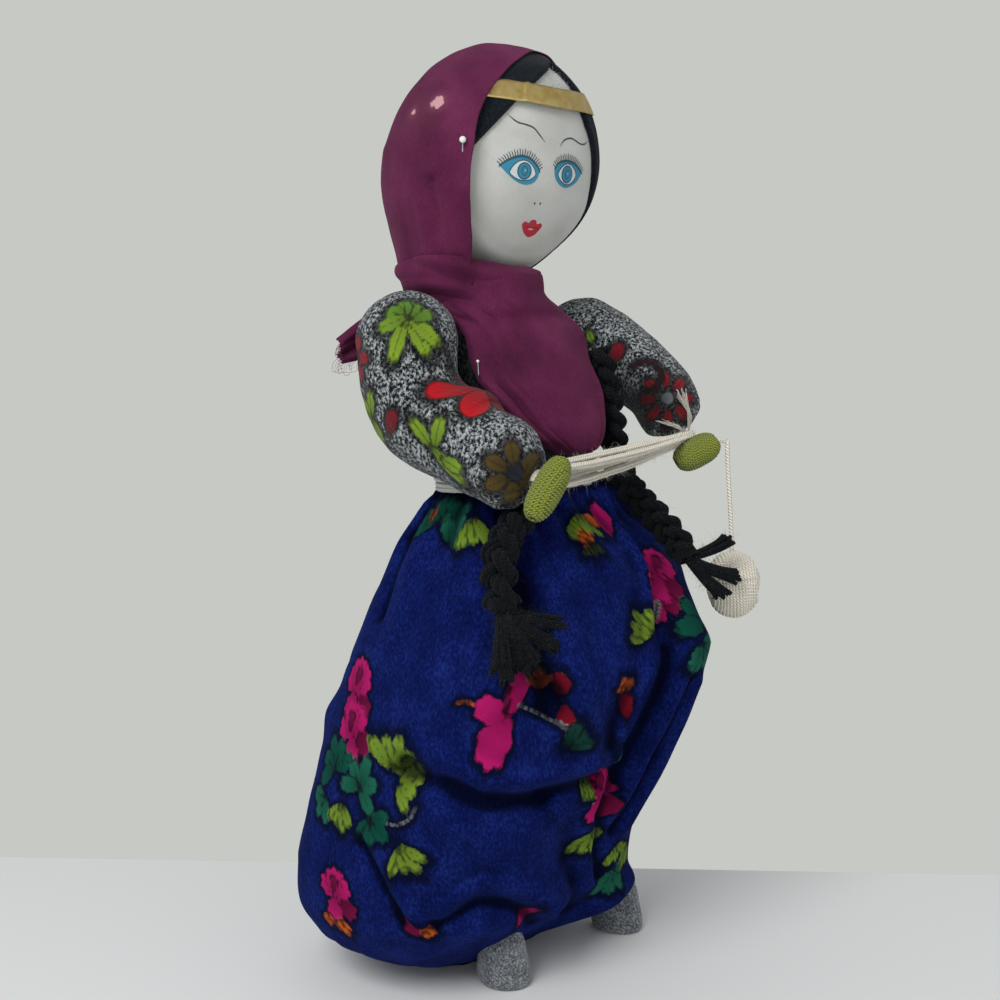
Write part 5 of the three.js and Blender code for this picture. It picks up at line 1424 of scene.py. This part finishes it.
trouser_folds *= smoothstep(0, 30, trouser_level) * smoothstep(217.5, 199, trouser_level)
trouser_folds += fold([(302, 17), (318, 17)], 8, 8) * smoothstep(2, 12, trouser_level)
pleats = np.sin(trouser_turn * 17 + 1.3 * np.sin(trouser_turn * 3))
pleats = pleats + 0.6 * np.sin(trouser_turn * 29 + 2.0 * np.sin(trouser_turn * 5))
trouser_folds += 1.5 * pleats * smoothstep(176, 206, trouser_level)
ankle_pleats = np.sin(trouser_turn * 23 + 1.7 * np.sin(trouser_turn * 4))
trouser_folds += 0.8 * ankle_pleats * smoothstep(34, 12, trouser_level)
trouser_out = trouser_reach + trouser_folds
trouser_out -= 3.0 * smoothstep(214, 219, trouser_level)
# Painted shade: the colour darkens in the hollows of the folds, by how far the cloth lies below its blurred
# self.
hollow = np.clip(softened(trouser_out, 3.5, 4.0, True) - trouser_out, 0, 2.0)
trouser_crease_shade = np.clip(hollow * 0.75, 0, 0.85)
middle_x = np.interp(trouser_level, section_at, section_x)
middle_y = np.interp(trouser_level, section_at, section_y)
trouser_points = np.stack([
    middle_x + trouser_out * np.cos(trouser_turn), middle_y + trouser_out * np.sin(trouser_turn),
    trouser_level], -1)
outwards = np.stack([np.cos(trouser_turn), np.sin(trouser_turn), 0 * trouser_turn], -1)
trouser_normals = normals_of(trouser_points, outwards)


def on_trousers(degrees, level):
    """The place on the trousers at degrees round and a height."""
    row = int(np.argmin(np.abs(trouser_level[:, 0] - level)))
    return trouser_points[row, int(round(degrees)) % trouser_columns].tolist()


rose_red, dark_rose, dark_leaf, mid_leaf = "a8185f", "6a0f38", "0f4a3c", "1c5c48"
lime_leaf, orange_bud, stem_white = "6f8a2c", "c8601e", "9fa3a6"


def on_cloth(degrees, level, turn, size, shapes):
    """One motif of the trousers' print."""
    return {"centre": on_trousers(degrees, level), "turn": turn, "size": size, "deep": 14,
            "reach": 34 * size, "shapes": shapes}


def half_rose():
    """A rose seen from the side: wide ruffled petals over a darker heart."""
    return [petal([-2, 0], 35, 13, 12, rose_red, 0.1, 8), petal([2, 1], 150, 12, 11, rose_red, 0.1, 8),
            petal([0, -1], 92, 13, 11, rose_red, 0.1, 8), petal([-1, 2], 75, 7, 5, dark_rose, 0.08, 6),
            petal([1, -1], 250, 11, 10, rose_red, 0.1, 7), petal([3, -2], -35, 10, 9, dark_rose, 0.1, 7)]


def small_bud(colour=orange_bud):
    """A bud of three narrow petals."""
    return [petal([0, 0], angle, length, width, colour, 0.05, 5, 1.0)
            for angle, length, width in ((100, 9, 4.2), (62, 7, 3.4), (140, 7, 3.2))]


trouser_prints = [
    on_cloth(163, 132, 0, 1.2, moved(half_rose(), 0, 4)),
    on_cloth(168, 118, 20, 1.15, half_rose()),
    on_cloth(164, 102, 30, 1.15, leaf_spray(dark_leaf, 5, 13, 7, 190)),
    on_cloth(179, 98, -20, 1.1, leaf_spray(mid_leaf, 5, 13, 6.5, 230)),
    on_cloth(188, 86, -150, 1.0, leaf_spray(dark_leaf, 4, 12, 7, 150)),
    on_cloth(163, 88, 150, 1.0, leaf_spray(mid_leaf, 3, 12, 7, 120)),
    on_cloth(189, 108, -25, 1.15, leaf_spray(lime_leaf, 5, 14, 6, 130)),
    on_cloth(194, 102, -95, 1.0, leaf_spray(lime_leaf, 4, 12, 6, 120)),
    on_cloth(174, 88, 170, 1.0, leaf_spray(lime_leaf, 4, 12, 5.5, 90)),
    on_cloth(195, 86, 0, 1.0, curl(stem_white, 70, 18)),
    on_cloth(201, 78, -160, 1.0, leaf_spray(lime_leaf, 4, 14, 5, 80)),
    on_cloth(181, 50, 0, 1.0, half_rose()),
    on_cloth(184, 39, 180, 1.0, small_bud()),
    on_cloth(178, 41, 160, 0.8, small_bud()),
    on_cloth(206, 47, 0, 1.0, [petal([0, 0], -58, 13, 5, dark_rose, 0.08, 7)]),
    on_cloth(213, 38, -110, 0.7, small_bud()),
    on_cloth(203, 137, 25, 1.0, curl(orange_bud, -100, 14, 1.8)),
    on_cloth(218, 132, 0, 1.0, [
        petal([1, 0], 62, 27, 9, rose_red, 0.05, 8), petal([1, 3], 248, 25, 13, rose_red, 0.08, 8),
        petal([1, 0], 152, 13, 12, rose_red, 0.08, 7), petal([0, 2], 75, 11, 2.6, dark_rose)]),
    on_cloth(224, 144, -20, 1.0, moved(small_bud(), 1, -3)),
    on_cloth(233, 138, -10, 1.0, [
        petal([-3, 0], 60, 11, 8, "6e0f22", 0.08, 7), petal([2, -3], -60, 9, 7, "6e0f22", 0.08, 7)]),
    on_cloth(221, 136, -25, 1.0, curl(stem_white, -20, 21)),
    on_cloth(239, 117, -60, 1.0, leaf_spray("123a30", 3, 13, 5.5, 60)),
    on_cloth(222, 156, 10, 1.0, curl("5f7a52", 60, 10)),
    on_cloth(177, 207, 10, 1.2, leaf_spray(dark_leaf, 5, 14, 7, 160)),
    on_cloth(186, 200, -30, 1.1, leaf_spray(mid_leaf, 4, 13, 6.5, 120)),
    on_cloth(198, 209, -172, 1.2, leaf_spray(lime_leaf, 3, 14, 5, 50)),
    on_cloth(168, 208, 0, 0.8, small_bud()),
    on_cloth(256, 208, 180, 1.1, leaf_spray(lime_leaf, 4, 13, 5, 110)),
    on_cloth(273, 203, 0, 1.0, [
        petal([0, -8], 84, 18, 8, rose_red, 0.07, 8), petal([-4, -3], 110, 9, 5, orange_bud)]),
    on_cloth(252, 196, 10, 0.8, small_bud() + leaf_spray("2d3a1c", 3, 9, 4, 90, 180)),
    on_cloth(288, 168, 0, 1.05, half_rose()),
    on_cloth(296, 176, -15, 1.1, half_rose()),
    on_cloth(288, 184, 20, 0.8, [petal([0, -4], 70, 11, 9, dark_rose, 0.08, 8)]),
    on_cloth(303, 153, -30, 1.25, leaf_spray(dark_leaf, 5, 14, 7.5, 210)),
    on_cloth(296, 146, -160, 1.1, leaf_spray(mid_leaf, 4, 13, 7, 140)),
    on_cloth(267, 157, 20, 1.0, leaf_spray(lime_leaf, 5, 12, 5, 150)),
    on_cloth(304, 141, -80, 1.0, leaf_spray(lime_leaf, 3, 11, 5, 90)),
    on_cloth(278, 155, 30, 1.0, curl(stem_white, 30, 15)),
    on_cloth(257, 134, 10, 0.95, small_bud() + [petal([-2, -12], 86, 12, 6, "6e0f22", 0.08, 6)]),
    on_cloth(272, 85, -10, 1.05, half_rose()),
    on_cloth(276, 68, -170, 1.0, leaf_spray(lime_leaf, 4, 13, 6, 100)),
    on_cloth(296, 54, -160, 1.0, leaf_spray(lime_leaf, 3, 11, 5, 90)),
    on_cloth(298, 42, 200, 1.15, leaf_spray(mid_leaf, 4, 14, 7, 120)),
    on_cloth(267, 101, 10, 1.0, leaf_spray(mid_leaf, 3, 10, 5, 70)),
    on_cloth(262, 95, 170, 0.8, leaf_spray(lime_leaf, 3, 10, 5, 60)),
    on_cloth(248, 36, 10, 0.9, [petal([0, -8], 84, 16, 6, rose_red, 0.05, 7)]),
]
back_flowers = [(128, 180, 0), (98, 128, 40), (126, 84, -30), (66, 178, 20), (50, 122, -20), (84, 62, 60),
                (20, 168, 0), (8, 112, 30), (40, 66, -50), (334, 150, 10), (345, 92, -30), (320, 60, 20)]
for degrees, level, turn in back_flowers:
    trouser_prints += [
        on_cloth(degrees, level, turn, 1.1, rose(rose_red, dark_rose, 0.8)),
        on_cloth(degrees + 9, level - 15, turn - 60, 1.1, leaf_spray(dark_leaf, 5, 13, 6.5, 200)),
        on_cloth(degrees - 10, level - 12, turn + 120, 1.0, leaf_spray(lime_leaf, 4, 12, 5.5, 110)),
        on_cloth(degrees + 7, level + 15, turn, 0.9, small_bud()),
    ]


def flannel_material():
    """Royal blue brushed flannel: a soft fibrous nap, lighter where it is rubbed, the print dyed into it."""
    made, tree, principled = new_material(
        "trouser_flannel", Roughness=1.0, Sheen_Weight=0.05, Sheen_Roughness=0.4, Specular_IOR_Level=0.03)
    principled.inputs["Sheen Tint"].default_value = linear("7088e0")
    nap = object_noise(tree, 900.0, 4.0, (1, 1, 0.6))
    slow = object_noise(tree, 70.0, 3.0)
    fine = object_noise(tree, 2600.0, 2.0)
    blues = [(0.3, "050b30"), (0.5, "0c1852"), (0.7, "1b2c74")]
    ground = ramp(tree, added(tree, nap, 0.6, slow, 0.4), blues)
    colour = printed_cloth(tree, ground, nap, 2.6, "070b1c", "120a14")
    # Painted shade in the hollows of the folds, from the mesh's crease values.
    colour = mix_colour(tree, field(tree, "crease"), colour, linear("02040f"))
    height = maths(tree, "ADD", nap, maths(tree, "MULTIPLY", fine, 0.5))
    finish_shader(tree, principled, colour, height, 0.0006)
    return made


flannel = flannel_material()
trouser_flat = trouser_points.reshape(-1, 3)
trouser_faces = grid_faces(trouser_rows, trouser_columns, True)
trouser_faces.append([(trouser_rows - 1) * trouser_columns + k for k in range(trouser_columns)])
trouser_values = print_motifs(trouser_flat, trouser_normals.reshape(-1, 3), trouser_prints)
trouser_values["crease"] = trouser_crease_shade.ravel()
trousers = make_mesh("trousers_cloth", trouser_flat, trouser_faces,
                     attributes=trouser_values)
paint(trousers, flannel)
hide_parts("trousers_upper", "trousers_lower")
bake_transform(trousers)
nap_roots, nap_out = surface_samples(trousers, 14000, 61)
trouser_nap = paint(fuzz("trouser_nap", nap_roots, nap_out, 1.9, 0.04, None, 62, 1.0),
                    fibre_material("blue_fibre", "10184c"))
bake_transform(trouser_nap)

# Braids: black wool plaited in three, from under the scarf to a tied end that fans out into a tassel.
# The tie and the tassel ride on the braid's end.
black_yarn = yarn_material("black_yarn", "010203", "090f15", 0.02, 2.0, 3.0)
braid_points = {
    "right": [[-28.8, -31, 236], [-29, -31.5, 226], [-40, -40, 213], [-57, -46, 204],
              [-66.5, -50, 195], [-68.5, -52.5, 178.5]],
    "left": [[22, -29, 278], [25.5, -30.5, 264], [28.5, -31, 240], [29, -31.5, 226],
             [30, -42.4, 211], [31.5, -57, 197.5], [32.5, -66, 186]],
}
black_fibre = fibre_material("black_fibre", "020406")


def plait(path, half_width, half_depth, pitch, yarns, spread):
    """Paths of three strands that pass over each other down the braid, each a twisted bundle of yarns."""
    line = resample(path, 150)
    side, up = frames_along(line)
    run = np.r_[0, np.cumsum(np.linalg.norm(np.diff(line, axis=0), axis=1))]
    found = []
    for strand_no in range(3):
        turn = 2 * np.pi * (run / pitch + strand_no / 3)
        across, over = half_width * np.sin(turn), half_depth * np.sin(2 * turn)
        for k in range(yarns):
            twist = 2 * np.pi * (k / yarns + run / (pitch * 0.9))
            out = spread * (1 if k else 0.2)
            sideways = side * (across + out * np.cos(twist))[:, None]
            upwards = up * (over + out * np.sin(twist))[:, None]
            found.append(line + sideways + upwards)
    return found


def tassel(at, prongs, yarns, spread, seed):
    """Yarns that leave a tie together and part into prongs, with a few stray ends."""
    chance = np.random.default_rng(seed)
    found = []
    for way in prongs:
        way = np.array(way, float)
        length = np.linalg.norm(way)
        first = unit(np.cross(way, [0.2, 0.1, 1]))
        second = np.cross(way / length, first)
        for k in range(yarns):
            turn = 2 * np.pi * k / yarns + chance.uniform(-0.3, 0.3)
            off = (first * np.cos(turn) + second * np.sin(turn)) * spread
            end = way * chance.uniform(0.88, 1.06) + off * 1.5 + chance.normal(size=3) * 0.5
            bends = [at + off * 0.8 + [0, 0, 2.5], at + off * 0.7,
                     at + way * 0.35 + off * 0.9 + [0, 0, -0.04 * length],
                     at + way * 0.7 + off * 1.2 + [0, 0, -0.03 * length], at + end]
            found.append(resample(bends, 26))
    return found


braid_scale = {"right": 1.42, "left": 1.2}
prong_ways = {"right": [[27, -9, -10], [20, -8, -18], [4, -5, -24], [-7, -3, -25]],
              "left": [[21, -9, 6], [21, -10, -11], [15, -8, -19]]}
for name, path in braid_points.items():
    path = np.array(path, float)
    scale = braid_scale[name]
    yarn_paths = plait(path, 3.6 * scale, 1.9 * scale, 21.0 * scale, 6, 1.55 * scale)
    braid = paint(tubes(f"braid_plait_{name}", yarn_paths, 1.0 * scale, None, 6), black_yarn)
    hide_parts(f"braid_{name}", f"braid_end_{name}")
    fine = resample(path, 400)
    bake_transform(braid)
    tail_way = unit(path[-1] - path[-2])
    start = unit(np.cross(tail_way, [0.3, 0.2, 1]))
    other = np.cross(tail_way, start)
    turn = np.linspace(0, 2 * np.pi * 5, 220)
    knot = (path[-1] + tail_way * (turn / turn[-1] - 0.5)[:, None] * 4.5
            + 4.3 * scale**0.5 * (start * np.cos(turn)[:, None] + other * np.sin(turn)[:, None]))
    binding = tubes(f"braid_binding_{name}", [knot], 0.75, f"braid_end_{name}", 6)
    paint(binding, black_yarn)
    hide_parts(f"braid_tie_{name}")
    yarns = tassel(path[-1] + tail_way * 1.5, prong_ways[name], 9, 1.7, 21)
    if name == "right":
        fan = [[math.sin(a) * 16, -5 + 4 * math.cos(5 * a), -24 - 5 * math.cos(2 * a)]
               for a in np.linspace(-0.75, 1.0, 9)]
        yarns += tassel(path[-1] + tail_way * 1.5, fan, 3, 1.2, 22)
    piece = tubes(f"tassel_yarn_{name}", yarns, 0.95, f"braid_end_{name}", 6)
    paint(piece, black_yarn)
    nap = yarn_fuzz(f"braid_fuzz_{name}", yarn_paths, 0.8, 5000, 3.0, None, 41)
    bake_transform(paint(nap, black_fibre))
    stray_count = 8000 if name == "right" else 1500
    stray = yarn_fuzz(f"tassel_fuzz_{name}", yarns, 0.7, stray_count, 4.0,
                      f"braid_end_{name}", 43)
    paint(stray, black_fibre)
    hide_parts(f"tassel_{name}")

# Feet: stubs of grey heather jersey stuffed hard, flat where they stand, under wired legs.


def heather_material():
    """Grey heather jersey: pale grey knit flecked with dark fibres."""
    made, tree, principled = new_material(
        "fleece_grey", Roughness=0.95, Sheen_Weight=0.25, Sheen_Roughness=0.5)
    fleck = object_noise(tree, 1100.0, 4.0)
    slow = object_noise(tree, 160.0, 3.0)
    greys = [(0.38, "363a3f"), (0.5, "666b70"), (0.62, "93989c")]
    finish_shader(tree, principled, ramp(tree, added(tree, fleck, 0.75, slow, 0.25), greys), fleck, 0.0007)
    return made


heather = heather_material()
foot_rings, foot_columns = 44, 72
foot_rows = [(0.0, 0.80, 1.05), (0.5, 0.93, 1.12), (2.0, 1.02, 1.2), (6.0, 1.03, 1.2), (12.0, 0.99, 1.12),
             (19.0, 0.94, 1.02), (26.0, 0.76, 0.80), (34.0, 0.50, 0.55)]
for name in ("right", "left"):
    low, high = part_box(f"foot_{name}")
    low, high = unplace(low), unplace(high)
    foot_middle = (low + high) / 2
    half_wide, half_deep = (high - low)[:2] / 2
    rise = np.array([row[0] for row in foot_rows])
    level = np.interp(np.linspace(0, 1, foot_rings), np.linspace(0, 1, len(rise)), rise)[:, None]
    wide = np.interp(level, rise, [row[1] for row in foot_rows]) * half_wide
    deep = np.interp(level, rise, [row[2] for row in foot_rows]) * half_deep / 1.2
    turn = np.linspace(0, 2 * np.pi, foot_columns, endpoint=False)[None]
    lean = -0.06 * (26 - level) * 0.4
    shape = np.stack([foot_middle[0] + wide * np.cos(turn), foot_middle[1] + lean + deep * np.sin(turn),
                      level + 0 * turn], -1)
    lumps = 0.35 * wobble(shape, 14, 61) * (level > 0.4)
    shape[..., :2] += lumps[..., None] * np.stack([np.cos(turn), np.sin(turn)], -1)
    foot = paint(closed_grid(f"foot_cloth_{name}", shape, "legs"), heather)
    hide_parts(f"foot_{name}")

# Solids that stay inside: the torso and legs of stuffed cotton, the wires and the neck stick.
stuffing_colours = [(0.3, "b9b4a6"), (0.7, "d8d4c8")]
stuffed = grained_material("stuffed_cotton", (1200.0, 3.0), stuffing_colours, Roughness=0.9)
wood_colours = [(0.3, "8a6a44"), (0.7, "b89464")]
wood = grained_material("stick_wood", (300.0, 4.0, (1, 1, 0.08)), wood_colours, Roughness=0.7)
inner_materials = {"torso": stuffed, "neck_stick": wood, "arm_wire": steel, "leg_wire": steel,
                   "leg_right": heather, "leg_left": heather}
for name, material in inner_materials.items():
    paint(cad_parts[name], material)
